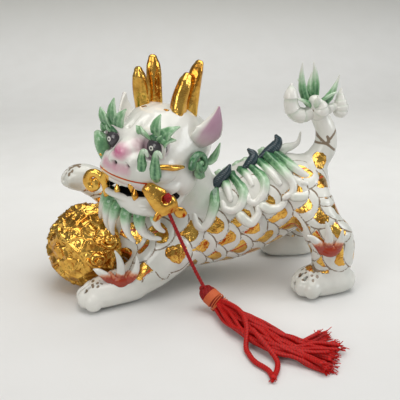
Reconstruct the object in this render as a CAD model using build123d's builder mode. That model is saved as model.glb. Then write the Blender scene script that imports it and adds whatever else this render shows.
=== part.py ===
"""Glazed porcelain foo dog with a brocade ball and a red tassel.

Millimetres, +Z up. The creature faces -X with its left side towards -Y. Body sizes are
measured from the middle plane of the creature and head sizes from the middle of the
skull; SHIFT and HEAD carry each piece into the shared frame, whose origin is the middle
of the base.
"""

import os
from math import cos, pi, radians, sin, tan

from build123d import *

os.makedirs("parts", exist_ok=True)

# Driving dimensions
SHIFT = Pos(-0.8, 5.0, 0.0)
HEAD = Pos(-23.0, -14.0, 121.0) * Rot(0, 0, 224)
WALL = 4.5
VENT_RADIUS = 3.0
BALL_CENTRE = (-87.0, 5.0, 31.5)
BALL_RADIUS = 29.5
BALL_WALL = 4.0
PETAL_RADIUS = 8.0
EYE_RADIUS = 7.0
MANE_THICK = 3.0
MANE_THIN = 2.0
CORD_RADIUS = 1.3
HOLE_RADIUS = 1.7
KNOT_CLEARANCE = 0.08
KNOT_RADIUS = 3.3
KNOT_SEAT = 92.0
HOLE_FOOT = 82.0
CORD_AT = (-26.5, -60.0)

# Stations of the slip-cast body: x, middle z, half width, half height
BODY = [
    (106, 76, 10, 12),
    (98, 77, 22, 24),
    (80, 76, 29, 31),
    (58, 68, 30, 34),
    (32, 55, 31, 34),
    (4, 46, 31, 31),
    (-24, 41, 30, 29),
    (-46, 42, 24, 24),
    (-58, 43, 12, 12),
]

pieces = {}


def limb(stations, across):
    """Smooth loft along stations of x, y, z, half width along `across`, half thickness.

    `across` is one direction, or a function giving the direction at a point.
    """
    last = len(stations) - 1
    turns = [2 * pi * step / 10 for step in range(10)]
    with BuildPart() as block:
        for n, (x, y, z, wide, high) in enumerate(stations):
            before = Vector(*stations[max(n - 1, 0)][:3])
            after = Vector(*stations[min(n + 1, last)][:3])
            side = across(x, y, z) if callable(across) else across
            with BuildSketch(Plane((x, y, z), x_dir=side, z_dir=after - before)):
                with BuildLine():
                    Spline(*[(wide * cos(a), high * sin(a)) for a in turns], periodic=True)
                make_face()
        loft()
    return block.part


def coil(points, thick, thin, across):
    """Rolled clay coil through the points, thick at its root and round at its thin tip."""
    path = Spline(*points)
    count = max(5, round(path.length / 3.5))
    stations = []
    for n in range(count + 1):
        p = path @ (n / count)
        radius = thick + (thin - thick) * n / count
        stations.append((p.X, p.Y, p.Z, radius, radius))
    end = path @ 1 + path % 1 * thin * 0.8
    stations.append((end.X, end.Y, end.Z, thin * 0.45, thin * 0.45))
    return limb(stations, across)


def bent(root, bend, tip, step):
    """Point part of the way from root to tip along an arc drawn towards the bend."""
    return (Vector(*root) * (1 - step) ** 2 + Vector(*bend) * 2 * step * (1 - step)
            + Vector(*tip) * step**2)


def leaf(root, bend, tip, wide, thick, across):
    """Flat pointed leaf bent from its root past the bend to its tip."""
    stations = []
    for step, girth in ((0, 0.55), (0.25, 0.9), (0.5, 1.0), (0.75, 0.65), (1, 0.16)):
        p = bent(root, bend, tip, step)
        stations.append((p.X, p.Y, p.Z, wide * girth, thick * (0.4 + 0.6 * girth)))
    return limb(stations, across)


def body_size(x):
    """Middle height, half width and half height of the body at x."""
    for behind, ahead in zip(BODY, BODY[1:]):
        if ahead[0] <= x <= behind[0]:
            part = (x - ahead[0]) / (behind[0] - ahead[0])
            return [ahead[k] + part * (behind[k] - ahead[k]) for k in (1, 2, 3)]
    raise ValueError("x is off the body")


def skin(x, turn, lift):
    """Point over the body at x, turned down from the ridge, + towards its left side."""
    middle, wide, high = body_size(x)
    angle = radians(turn)
    return (x, -(wide + lift) * sin(angle), middle + (high + lift) * cos(angle))


def outward(x, y, z):
    """Direction from the body's long axis to a point over its skin."""
    return (0, y, z - body_size(x)[0])


def ball_at(x, y, z, radius, mode=Mode.ADD):
    """Ball of clay at a point of the piece being built, its poles clear of its neighbours."""
    with Locations(Pos(x, y, z) * Rot(11, 78, 0)):
        Sphere(radius, mode=mode)


def keep(name, piece, place=Pos(0, 0, 0)):
    """File a finished piece under its name, carried into the shared frame."""
    pieces[name] = SHIFT * place * Compound(piece.solids())


# ---------------------------------------------------------------- body and neck

NECK = [(-6, 0, 56, 24, 29), (-10, -2, 74, 24, 27), (-14, -6, 90, 23, 24), (-18, -10, 105, 21, 21)]
body_block = limb([(x, 0, z, wide, high) for x, z, wide, high in BODY], (0, 1, 0))
body_core = limb([(x, 0, z, wide - WALL, high - WALL) for x, z, wide, high in BODY[1:-1]], (0, 1, 0))
neck_block = limb(NECK, (0, 1, 0))
neck_core = limb([(x, y, z, wide - WALL, high - WALL) for x, y, z, wide, high in NECK], (0, 1, 0))

with BuildPart() as torso:
    add(body_block)
    add(body_core, mode=Mode.SUBTRACT)
    with BuildSketch(Plane.XY):
        with Locations((20, 0)):
            Circle(VENT_RADIUS)
    extrude(amount=30, mode=Mode.SUBTRACT)
keep("torso", torso.part)

with BuildPart() as neck:
    add(neck_block)
    add(neck_core, mode=Mode.SUBTRACT)
    add(body_block, mode=Mode.SUBTRACT)
keep("neck", neck.part)

# ---------------------------------------------------------------- head, in head sizes

SKULL = [
    (-27, 0, -1, 5, 5),
    (-23, 0, -1, 17, 15),
    (-12, 0, -2, 28, 24),
    (3, 0, -2, 32, 27),
    (18, 0, -4, 31, 24),
    (30, 0, -7, 29, 18),
    (38, 0, -10, 27, 13),
    (43, 0, -12, 24, 9),
    (46, 0, -13, 17, 5),
]
JAW = [
    (2, 0, -33, 18, 10),
    (16, 0, -38, 23, 11),
    (28, 0, -41, 21, 9),
    (36, 0, -42, 17, 8),
    (42, 0, -42, 9, 5),
]
skull_block = limb(SKULL, (0, 1, 0))
skull_core = limb([(x, y, z, w - WALL, h - WALL) for x, y, z, w, h in SKULL[1:-2]], (0, 1, 0))
jaw_block = limb(JAW, (0, 1, 0))
jaw_scoop = limb([(4, 0, -27, 15, 12), (16, 0, -32, 19, 12), (28, 0, -35, 17, 10), (37, 0, -37, 12, 8)],
                 (0, 1, 0))
neck_in_head = HEAD.inverse() * neck_block

with BuildPart() as head:
    add(skull_block)
    add(skull_core, mode=Mode.SUBTRACT)
    with BuildSketch(Plane.XY.offset(-60)):
        with Locations((45, 0)):
            Rectangle(38, 80)
        with Locations((16, 0)):
            Rectangle(24, 46)
    extrude(amount=40, mode=Mode.SUBTRACT)
    for side in (1, -1):
        ball_at(32, 19.5 * side, 4.5, EYE_RADIUS, Mode.SUBTRACT)
    add(neck_in_head, mode=Mode.SUBTRACT)
keep("head", head.part, HEAD)

with BuildPart() as lower_jaw:
    add(jaw_block)
    add(jaw_scoop, mode=Mode.SUBTRACT)
    add(neck_in_head, mode=Mode.SUBTRACT)
keep("lower_jaw", lower_jaw.part, HEAD)

nose_block = limb([(36, 0, -1, 9, 7), (41, 0, -1, 11, 8), (46, 0, -2, 10, 7), (50, 0, -3, 6, 4)], (0, 1, 0))
with BuildPart() as nose:
    add(nose_block)
    for side in (1, -1):
        ball_at(46, 7 * side, -4, 4.2)
    for side in (1, -1):
        ball_at(51, 4.5 * side, -4, 1.9, Mode.SUBTRACT)
keep("nose", nose.part, HEAD)

for name, side in (("left", 1), ("right", -1)):
    with BuildPart() as eye:
        ball_at(32, 19.5 * side, 4.5, EYE_RADIUS - 0.02)
        ball_at(39.5, 19.5 * side, 4.8, 1.6, Mode.SUBTRACT)
    keep("eye_" + name, eye.part, HEAD)
    whisker = limb([(42, 25 * side, -6, 1.6, 2), (36, 29 * side, -7, 2, 2.4),
                    (29, 31 * side, -8.5, 2.2, 2.6), (22, 32.5 * side, -9.5, 1.2, 1.6)], (0, 0, 1))
    keep("whisker_" + name, whisker, HEAD)

# A fan of leaves over each eye: middle of the root, then the tips
BROWS = {
    "left": (18, [(35, 2, 14), (35, 13, 23), (33, 26, 27), (29, 36, 18)]),
    "right": (-19, [(35, -34, 22), (35, -22, 33), (35, -8, 26), (33, -30, 14)]),
}
for name, (middle, tips) in BROWS.items():
    blades = []
    for x, y, z in tips:
        bow = (40, middle + (y - middle) * 0.5, 11 + (z - 10) * 0.5)
        root = (31, middle + (y - middle) * 0.2, 8.5)
        blades.append(leaf(root, bow, (x, y, z), 4.2, 1.9, (0, 1, -0.3)))
    with BuildPart() as brow:
        for blade in blades:
            add(blade)
        ball_at(32, middle, 10, 4.4)
    keep("brow_tuft_" + name, brow.part, HEAD)

tufts = []
for x, y, foot, top in ((40, 10.5, -15, 4), (37.5, 22, -19, 2.5)):
    tall = top - foot
    tufts.append(limb([
        (x, y, foot, 2.2, 2.2),
        (x + 1, y, foot + 0.12 * tall, 4.6, 4.0),
        (x + 2, y, foot + 0.42 * tall, 3.7, 3.3),
        (x + 3, y + 0.6, foot + 0.75 * tall, 2.4, 2.2),
        (x + 3.5, y + 2.0, top, 1.8, 1.7),
        (x + 3.2, y + 4.4, top + 0.4, 1.2, 1.2),
    ], (1, 0, 0)))
with BuildPart() as cheek_left:
    for tuft in tufts:
        add(tuft)
keep("cheek_tuft_left", cheek_left.part, HEAD)

cheek_right = limb([
    (37, -26, -14, 3.0, 2.5),
    (39, -25.5, -7, 5.5, 3.2),
    (40.5, -25, 0, 6.5, 3.0),
    (40, -27, 6, 5.5, 2.6),
    (38, -31.5, 9, 3.5, 2.0),
    (36.5, -36, 7, 1.2, 1.2),
], (1, -1, 0))
keep("cheek_tuft_right", cheek_right, HEAD)

# A tall back prong and a short front prong on each horn: root, bend and tip
HORNS = {
    "left": [((-9, 16, 22), (-9, 17, 42), (-14, 20, 57)), ((2, 16, 21), (1, 16, 36), (-2, 18, 49))],
    "right": [((-9, -16, 22), (-7, -17, 42), (-6, -18, 59)), ((2, -16, 21), (4, -16, 38), (8, -16.5, 52))],
}
for name, prongs in HORNS.items():
    shafts = []
    for root, bend, tip in prongs:
        stations = []
        for step, girth in ((0, 5.6), (0.3, 5.2), (0.6, 4.6), (0.85, 3.9), (1, 2.4)):
            p = bent(root, bend, tip, step)
            stations.append((p.X, p.Y, p.Z, girth * 0.9, girth))
        shafts.append(limb(stations, (0, 1, 0)))
    with BuildPart() as horn:
        for shaft in shafts:
            add(shaft)
    keep("horn_" + name, horn.part, HEAD)

flap = leaf((1, -27, 2), (-2, -44, 8), (-6, -40, 30), 10, 3.4, (-0.6, -0.8, 0))
dish = leaf((6, -33, 6), (3, -46, 11), (-2, -42, 27), 6, 3.2, (-0.6, -0.8, 0))
with BuildPart() as ear:
    add(flap)
    add(dish, mode=Mode.SUBTRACT)
keep("ear_right", ear.part, HEAD)
keep("ear_left", mirror(ear.part, Plane.XZ), HEAD)

winding = [(pi * step / 4, 8.6 - 0.72 * step) for step in range(9)]
swirl = coil([(7 + r * cos(a), -35, -11 + r * sin(a)) for a, r in winding], 2.5, 2.2, (0, 1, 0))
blade = leaf((0, -35, -12), (-8, -37, -12), (-9, -41, 0), 3.4, 1.8, (0, 1, 0))
with BuildPart() as ear_curl:
    ball_at(7, -32, -11, 6.5)
    add(swirl)
    add(blade)
keep("ear_curl_right", ear_curl.part, HEAD)
keep("ear_curl_left", mirror(ear_curl.part, Plane.XZ), HEAD)

for name, places in (("upper", [(41, 5, -17), (39, -21, -15)]), ("lower", [(39, 5.5, -41), (38.5, -11, -41)])):
    down = -1 if name == "upper" else 1
    with BuildPart() as fangs:
        for x, y, z in places:
            with Locations(Pos(x, y, z) * Rot(0 if down > 0 else 180, 0, 0) * Pos(0, 0, 5)):
                Cone(2.6, 0.6, 10)
    keep(name + "_fangs", fangs.part, HEAD)

# Beard coils under the lower lip: root and tip
BEARD = [
    ((37, -21, -42), (42, -25, -52), (37, -32, -58)),
    ((42, -13, -45), (47, -17, -58), (41, -22, -67)),
    ((44, -4, -46), (49, -5, -58), (44, -6, -69)),
    ((42, 5, -47), (46, 4, -60), (40, 1, -70)),
    ((38, 12, -48), (42, 14, -66), (32, 22, -68)),
    ((31, 18, -47), (36, 22, -56), (28, 25, -60)),
]
beard_coils = []
for root, bend, tip in BEARD:
    path = [bent(root, bend, tip, step / 5) for step in range(6)]
    beard_coils.append(coil([(p.X, p.Y, p.Z) for p in path], 3.4, 1.5, (0, 1, 0)))
with BuildPart() as beard:
    for strand in beard_coils:
        add(strand)
    add(jaw_block, mode=Mode.SUBTRACT)
keep("beard_curls", beard.part, HEAD)

# ---------------------------------------------------------------- legs and paws

# Each paw: stations from heel to toes, then the middles of the four toes
PAWS = {
    "forepaw_left": (
        [(-51, -30, 11, 11, 10), (-60, -33, 12.5, 13, 12), (-72, -36, 12, 14.5, 12),
         (-82, -38, 10, 13.5, 10.5), (-88, -39, 8.5, 10, 8)],
        [(-85, -48, 6), (-90, -43, 6.5), (-91, -36.5, 6.5), (-87.5, -30.5, 6)], 5.2),
    "hindpaw_left": (
        [(115, -37, 8.5, 9, 8.5), (108, -37, 10, 13, 11), (96, -38, 10.5, 14, 12.5),
         (84, -39.5, 10, 14.5, 11.5), (76, -41, 8.5, 11, 8.5)],
        [(80, -51, 6), (74.5, -46.5, 6.5), (73.5, -40, 6.5), (76.5, -33.5, 6)], 5.2),
    "hindpaw_right": (
        [(107, 37, 8.5, 9, 8.5), (100, 37, 10, 13, 11), (88, 38, 10.5, 14, 12.5),
         (76, 39.5, 10, 14.5, 11.5), (68, 41, 8.5, 11, 8.5)],
        [(72, 51, 6), (66.5, 46.5, 6.5), (65.5, 40, 6.5), (68.5, 33.5, 6)], 5.2),
    "forepaw_right": (
        [(-77, 29.5, 76, 9.5, 10.5), (-84, 31, 79, 10.5, 11.5), (-91, 31.5, 80, 10.5, 11),
         (-97, 32, 79.5, 9, 9), (-101, 32, 79, 6, 6)],
        [(-99, 25.5, 77), (-102, 30, 76), (-102, 35.5, 76), (-98.5, 39.5, 77)], 3.8),
}
paw_blocks = {}
for name, (stations, toes, toe_radius) in PAWS.items():
    sole = limb(stations, (0, 1, 0))
    with BuildPart() as paw:
        add(sole)
        for x, y, z in toes:
            ball_at(x, y, z, toe_radius)
        split(bisect_by=Plane.XY, keep=Keep.TOP)
    paw_blocks[name] = paw.part
    keep(name, paw.part)

LEGS = {
    "foreleg_left": [(-12, -18, 46, 15, 18), (-24, -25, 36, 17, 18), (-37, -29, 26, 15, 16.5),
                     (-49, -31, 18, 13, 14), (-60, -33, 14, 11, 12)],
    "foreleg_right": [(-32, 10, 46, 16, 20), (-49, 19, 55, 15, 16), (-62, 25, 64, 13, 13),
                      (-71, 28, 71, 11, 11.5), (-79, 30, 76.5, 9.5, 10.5)],
    "hindleg_left": [(88, -18, 80, 12, 16), (92, -24, 67, 16, 20), (98, -31, 53, 16, 19),
                     (101, -35, 41, 15, 17), (102, -36, 29, 14, 15.5), (102, -37, 17, 12.5, 13),
                     (102, -37, 9, 12, 12)],
    "hindleg_right": [(80, 18, 80, 12, 16), (84, 24, 67, 16, 20), (90, 31, 53, 16, 19),
                      (93, 35, 41, 15, 17), (94, 36, 29, 14, 15.5), (94, 37, 17, 12.5, 13),
                      (94, 37, 9, 12, 12)],
}
leg_blocks = {}
for name, stations in LEGS.items():
    leg_blocks[name] = limb(stations, (0, 1, 0))
    with BuildPart() as leg:
        add(leg_blocks[name])
        add(body_block, mode=Mode.SUBTRACT)
        add(paw_blocks[name.replace("leg", "paw")], mode=Mode.SUBTRACT)
    keep(name, leg.part)

# Flame curls on the outside of each leg: foot of the fan, then three tips
FLAMES = {
    "fore_flame_left": ((-62, -42, 22), [(-80, -44, 33), (-65, -44, 46), (-50, -42, 41)], -1),
    "fore_flame_right": ((-60, 34, 58), [(-74, 40, 66), (-62, 42, 76), (-50, 38, 72)], 1),
    "hind_flame_left": ((95, -48, 41), [(78, -49, 52), (91, -52, 64), (104, -50, 57)], -1),
    "hind_flame_right": ((87, 48, 41), [(70, 49, 52), (83, 52, 64), (96, 50, 57)], 1),
}
for name, ((x, y, z), tips, out) in FLAMES.items():
    tongues = []
    for tip in tips:
        root = (x + (tip[0] - x) * 0.35, y - out, z + (tip[2] - z) * 0.1)
        bow = (x + (tip[0] - x) * 0.9, y + 3 * out, z + (tip[2] - z) * 0.45)
        tongues.append(leaf(root, bow, tip, 3.4, 2.6, (1, 0, 0)))
    palm = limb([(x - 13, y - 3 * out, z + 2, 2, 2), (x - 7, y, z, 5, 4), (x, y, z, 6, 4.5),
                 (x + 7, y, z, 5, 4), (x + 13, y - 3 * out, z + 2, 2, 2)], (0, 0, 1))
    with BuildPart() as flame:
        add(palm)
        for tongue in tongues:
            add(tongue)
    keep(name, flame.part)

# ---------------------------------------------------------------- ball

golden = (1 + 5**0.5) / 2
corners = []
for a in (-1, 1):
    for b in (-golden, golden):
        corners += [Vector(0, a, b), Vector(a, b, 0), Vector(b, 0, a)]
for a in (-1, 1):
    for b in (-1, 1):
        for c in (-1, 1):
            corners.append(Vector(a, b, c) * 1.1)
    for b in (-1 / golden, 1 / golden):
        corners += [Vector(0, b, a * golden), Vector(b, a * golden, 0), Vector(a * golden, 0, b)]

with BuildPart() as brocade_ball:
    with Locations(Pos(*BALL_CENTRE) * Rot(5, 7, 0)):
        Sphere(BALL_RADIUS)
    for corner in corners:
        out = (Rot(17, 23, 31) * Pos(*corner)).position.normalized()
        middle = Vector(*BALL_CENTRE) + out * (BALL_RADIUS - PETAL_RADIUS + 2.2)
        with Locations(Plane(middle, z_dir=out).location):
            Sphere(PETAL_RADIUS)
    with Locations(BALL_CENTRE):
        Sphere(BALL_RADIUS - BALL_WALL, mode=Mode.SUBTRACT)
keep("brocade_ball", brocade_ball.part)

# ---------------------------------------------------------------- mane, spines and tail

# Coils on one flank as (x, degrees down from the ridge), traced from root to tip
MANE = [
    [(13, 12), (12, 30), (11, 47), (6, 64), (1, 71), (-3, 65), (-5, 50)],
    [(21, 12), (22, 32), (23, 49)],
    [(28, 10), (33, 42), (32, 57), (26, 64), (19, 58), (17, 47)],
    [(35, 9), (38, 28), (40, 43)],
    [(42, 10), (49, 44), (48, 60), (42, 67), (37, 61), (36, 52)],
    [(30, 74), (33, 81), (38, 88), (43, 82), (43, 73)],
    [(49, 10), (55, 40), (60, 58)],
    [(56, 10), (65, 45), (70, 61), (69, 73), (63, 77)],
    [(47, 76), (52, 84), (59, 88), (64, 83)],
    [(71, 79), (77, 82), (82, 76), (82, 68), (78, 63)],
    [(63, 10), (72, 36), (83, 54), (94, 66)],
]
strands = []
for trace in MANE:
    points = [skin(x, turn, MANE_THICK - 0.9) for x, turn in trace]
    strands.append(coil(points, MANE_THICK, MANE_THIN, outward))
with BuildPart() as mane:
    for strand in strands:
        add(strand)
keep("mane_curls_left", mane.part)
keep("mane_curls_right", mirror(mane.part, Plane.XZ))

wisp = coil([(70, 9, 103), (77, 10, 108), (83, 9, 112), (86, 8, 119)], 2.6, 1.2, (0, 1, 0))
keep("mane_wisp", wisp)

SPINES = [
    [(14, -7, 79), (20, -6, 86), (25, -5, 91), (28, -4, 96)],
    [(39, -2, 90), (45, -2, 96), (47, -1, 102), (43, -1, 107)],
    [(50, -1, 97), (57, -1, 104), (64, -1, 109), (67, 0, 116)],
]
spine_coils = []
for path in SPINES:
    girths = (3.4, 3.6, 3.2, 2.0)
    spine_coils.append(limb([(*p, g * 0.85, g) for p, g in zip(path, girths)], (0, 1, 0)))
with BuildPart() as back_spines:
    for spine in spine_coils:
        add(spine)
keep("back_spines", back_spines.part)

TAIL = [(92, 0, 84, 13, 13), (98, 1, 94, 10.5, 10.5), (103, 2, 106, 9.2, 9.2), (103, 2, 119, 8, 8),
        (98, 2, 130, 7, 7), (94, 1, 138, 6.5, 6.5), (92, 0, 144, 4.8, 4.8), (91, 0, 147, 2, 2)]
tail_block = limb(TAIL, (0, 1, 0))
with BuildPart() as tail:
    add(tail_block)
    add(body_block, mode=Mode.SUBTRACT)
keep("tail", tail.part)

# Leaves standing out of the tail's tip, then the ringed shell curls under them
LEAVES = [((90, 3, 139), (80, 3, 150), (82, 3, 172)), ((93, 5, 140), (95, 5, 155), (91, 4, 172)),
          ((97, 4, 141), (104, 4, 145), (110, 4, 162)), ((93, 8, 140), (92, 18, 148), (95, 20, 162)),
          ((94, -3, 140), (92, -9, 142), (92, -7, 148))]
blades = [leaf(root, bow, tip, 4.4, 2.4, (1, -0.3, 0)) for root, bow, tip in LEAVES]
with BuildPart() as tail_tuft:
    for blade in blades:
        add(blade)
    add(tail.part, mode=Mode.SUBTRACT)
keep("tail_tuft", tail_tuft.part)

SHELLS = [[(92, 1, 137, 4.5), (83, 0, 133, 6.5), (76, -1, 137, 6.5), (73, -1, 146, 6.0), (73, -1, 153, 4.0),
           (74, -1, 158, 1.5)],
          [(97, 4, 139, 4.0), (105, 5, 144, 5.5), (111, 5, 142, 6.2), (114, 5, 137, 5.5), (115, 5, 132, 2.2)]]
shell_coils = [limb([(x, y, z, r, r) for x, y, z, r in path], (0, 1, 0)) for path in SHELLS]
with BuildPart() as tail_shells:
    for shell in shell_coils:
        add(shell)
    add(tail.part, mode=Mode.SUBTRACT)
    add(tail_tuft.part, mode=Mode.SUBTRACT)
keep("tail_shells", tail_shells.part)

# ---------------------------------------------------------------- gold piece in the mouth

cord_x, cord_y = CORD_AT
bar = coil([(-69, -25, 89), (-63, -28, 82), (-50, -36, 79), (-41, -44, 84), (-36, -52, 92), (-30, -58, 92)],
           3.0, 4.2, (0.66, 0.75, 0))
stem = coil([(-69, -24, 87), (-70, -24, 94), (-69.5, -24, 101)], 3.0, 2.4, (1, 0, 0))
knob = coil([(-70, -23, 95), (-75, -20, 99.5), (-80.5, -18, 98), (-82.5, -17, 92.5), (-79, -18, 88.5)],
            3.0, 2.4, (0.3, 0.95, 0))
lobe_left = leaf((-32, -61, 85), (-37, -63, 82), (-42, -63, 79), 4.2, 2.2, (0, -0.4, 1))
lobe_right = leaf((-21, -60, 87), (-17, -60, 85), (-12, -60, 80), 4.4, 2.2, (0, -0.4, 1))
with BuildPart() as mouth_bar:
    add(bar)
    add(stem)
    add(knob)
    with BuildSketch(Plane((cord_x, cord_y, HOLE_FOOT), x_dir=(0.9, -0.3, 0))):
        RectangleRounded(15, 10, 3.5)
    extrude(amount=KNOT_SEAT - HOLE_FOOT)
    add(lobe_left)
    add(lobe_right)
    with BuildSketch(Plane.XY.offset(HOLE_FOOT - 20)):
        with Locations(CORD_AT):
            Circle(HOLE_RADIUS)
    extrude(amount=60, mode=Mode.SUBTRACT)
    with BuildSketch(Plane.XY.offset(KNOT_SEAT)):
        with Locations(CORD_AT):
            Circle(KNOT_RADIUS + 0.6)
    extrude(amount=30, mode=Mode.SUBTRACT)
    with BuildSketch(Plane.XY.offset(HOLE_FOOT)):
        with Locations(CORD_AT):
            Circle(4.5)
    extrude(amount=-20, mode=Mode.SUBTRACT)
keep("mouth_bar", mouth_bar.part)

# ---------------------------------------------------------------- knot, cord and tassel

with BuildPart() as cord_knot:
    with BuildSketch(Plane.XY.offset(HOLE_FOOT - 0.8)):
        with Locations(CORD_AT):
            Circle(HOLE_RADIUS - KNOT_CLEARANCE)
    extrude(amount=KNOT_SEAT - HOLE_FOOT + 2)
    ball_at(cord_x, cord_y, KNOT_SEAT + 2.2, KNOT_RADIUS)
    with BuildSketch(Plane.XY.offset(KNOT_SEAT)):
        with Locations(CORD_AT):
            Circle(8)
            Circle(HOLE_RADIUS - KNOT_CLEARANCE, mode=Mode.SUBTRACT)
    extrude(amount=-3, mode=Mode.SUBTRACT)
keep("cord_knot", cord_knot.part)

# Double cord from the knot down to the tassel's head and on through its core
ROUTE = [(-26.5, -60, 79.6), (-3, -50.5, 17), (9.5, -62.5, 7.2), (24, -96, 6), (46, -115, 5)]


def corner_radii(route):
    """Radius at each corner, drawn from the shorter run and the turn between the runs."""
    radii = []
    for behind, here, ahead in zip(route, route[1:], route[2:]):
        first = Vector(*here) - Vector(*behind)
        second = Vector(*ahead) - Vector(*here)
        turn = radians(first.get_angle(second))
        radii.append(0.45 * min(first.length, second.length) / tan(turn / 2))
    return radii


cord_radii = corner_radii(ROUTE)
print("cord corner radii", [round(r, 1) for r in cord_radii])
with BuildPart() as tassel_cord:
    with BuildLine():
        cord_line = FilletPolyline(*ROUTE, radius=cord_radii)
    with BuildSketch(Plane(cord_line @ 0, z_dir=cord_line % 0)):
        Circle(CORD_RADIUS)
    sweep()
    ball_at(*ROUTE[0], CORD_RADIUS)
cord_length = cord_line.length
print("cord length", round(cord_length, 1), "volume", round(tassel_cord.part.volume, 1),
      "section x length", round(pi * CORD_RADIUS**2 * cord_length, 1))
keep("tassel_cord", tassel_cord.part)

head_top = Vector(-2, -51, 16)
head_foot = Vector(9, -62, 7.6)
head_run = (head_foot - head_top).normalized()
head_plane = Plane(head_top, x_dir=(1, 1, 0), z_dir=head_run)
with BuildPart() as tassel_head:
    with BuildSketch(head_plane) as crown:
        Circle(3.6)
    with BuildSketch(head_plane.offset(3.5)):
        Circle(5.6)
    with BuildSketch(head_plane.offset(18)):
        Circle(5.9)
    loft()
keep("tassel_head", tassel_head.part)

with BuildPart() as tassel_band:
    with BuildSketch(head_plane.offset(6.5)):
        Circle(6.5)
        Circle(5.85, mode=Mode.SUBTRACT)
    extrude(amount=8)
keep("tassel_band", tassel_band.part)

bundle = limb([(8.5, -61.5, 8, 5.6, 5.6), (12, -69, 7, 7.5, 5.8), (19, -84, 6.3, 10, 5.6),
               (30, -99, 6, 13, 5.2), (44, -112, 5.5, 15, 4.8), (57, -119, 5, 14, 4.2)], (0.75, 0.66, 0))
ENDS = [(73, -107), (84, -114), (82, -122), (78, -130), (70, -140), (64, -149), (52, -139)]
strands = [coil([(49, -116, 5), ((49 + x) / 2, (-116 + y) / 2, 4.4), (x, y, 3.2)], 2.6, 2.0, (0, 0, 1))
           for x, y in ENDS]
stray = coil([(17, -92, 4), (18, -108, 2.2), (18, -127, 1.8), (28, -141, 1.8), (28, -151, 1.8)], 1.6, 1.2,
             (0, 0, 1))
with BuildPart() as tassel_skirt:
    add(bundle)
    for strand in strands:
        add(strand)
    add(stray)
    split(bisect_by=Plane.XY, keep=Keep.TOP)
keep("tassel_skirt", tassel_skirt.part)

for name, piece in pieces.items():
    piece.label = name
    export_step(piece, f"parts/{name}.step")
    print(name, len(piece.solids()), "solid(s)", round(piece.volume / 1000, 2), "cm3", piece.is_valid)
standing = [piece for name, piece in pieces.items() if not name.startswith(("cord_", "tassel_"))]
whole = Compound(standing).bounding_box()
print("without the cord", whole.size, "from", whole.min, "to", whole.max)
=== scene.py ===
"""Looks of a glazed porcelain foo dog with a gilt ball and a red silk tassel.

Shapes are worked in millimetres in the creature's own place: it faces -X, its left side is
towards -Y, its middle plane is y = 0 and the table is z = 0. Head shapes are worked from the
middle of the skull, x forward, y to the creature's left. put() carries both to the frame.
"""

import math

import bpy
import numpy as np
import openvdb
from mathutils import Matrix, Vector


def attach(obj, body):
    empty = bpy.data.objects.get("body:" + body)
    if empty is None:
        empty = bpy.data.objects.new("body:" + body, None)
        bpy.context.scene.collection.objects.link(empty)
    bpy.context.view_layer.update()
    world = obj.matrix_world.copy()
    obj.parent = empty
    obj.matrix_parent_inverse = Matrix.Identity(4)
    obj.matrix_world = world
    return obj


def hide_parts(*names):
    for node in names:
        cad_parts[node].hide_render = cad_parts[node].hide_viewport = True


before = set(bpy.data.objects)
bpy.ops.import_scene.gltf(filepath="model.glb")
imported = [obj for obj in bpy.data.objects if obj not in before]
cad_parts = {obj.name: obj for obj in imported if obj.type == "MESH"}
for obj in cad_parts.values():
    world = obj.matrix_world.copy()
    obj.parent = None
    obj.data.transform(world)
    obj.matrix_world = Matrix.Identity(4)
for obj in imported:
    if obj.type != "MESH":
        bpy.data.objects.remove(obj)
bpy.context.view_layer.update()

# Where the creature's own place lies in the frame, in mm, and how its head is turned
SHIFT = np.array((-0.8, 5.0, 0.0))
HEAD_AT = np.array((-23.0, -14.0, 121.0))
HEAD_TURN = math.radians(224)

# Grid steps of the sculpted pieces, in mm
BODY_STEP = 1.1
HEAD_STEP = 0.8
BALL_STEP = 0.75
BROW_STEP = 0.7
FINE_STEP = 0.6
FAR = 40.0

dice = np.random.default_rng(12)


def from_head(rows):
    """Head sizes carried to the creature's place; columns past the third stay as they are."""
    rows = np.array(rows, float)
    x, y, z = rows[:, 0].copy(), rows[:, 1].copy(), rows[:, 2].copy()
    rows[:, 0] = x * math.cos(HEAD_TURN) - y * math.sin(HEAD_TURN) + HEAD_AT[0]
    rows[:, 1] = x * math.sin(HEAD_TURN) + y * math.cos(HEAD_TURN) + HEAD_AT[1]
    rows[:, 2] = z + HEAD_AT[2]
    return rows


def put(points):
    """Points of the creature's place, in mm, as the frame's metres."""
    return (np.asarray(points, float)[:, :3] + SHIFT) / 1000


def unit(vectors):
    """Vectors scaled to length 1."""
    vectors = np.asarray(vectors, float)
    return vectors / np.maximum(np.linalg.norm(vectors, axis=-1, keepdims=True), 1e-9)


def ease(values, low, high):
    """0 below low, 1 above high and smooth between; low may be the larger."""
    part = np.clip((np.asarray(values, float) - low) / (high - low), 0, 1)
    return part * part * (3 - 2 * part)


def smooth_path(rows, spacing):
    """Rows spaced evenly along a smooth curve through the given ones, all columns alike."""
    rows = np.array(rows, float)
    rows = np.vstack([2 * rows[0] - rows[1], rows, 2 * rows[-1] - rows[-2]])
    step = np.linspace(0, 1, 16, endpoint=False)[:, None]
    runs = []
    for a, b, c, d in zip(rows, rows[1:], rows[2:], rows[3:]):
        runs.append(b + 0.5 * step * (c - a + step * (2 * a - 5 * b + 4 * c - d
                                                      + step * (3 * (b - c) + d - a))))
    dense = np.vstack(runs + [rows[-2:-1]])
    run = np.append(0, np.cumsum(np.linalg.norm(np.diff(dense[:, :3], axis=0), axis=1)))
    at = np.linspace(0, run[-1], max(4, round(run[-1] / spacing)) + 1)
    return np.stack([np.interp(at, run, column) for column in dense.T], 1)


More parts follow.
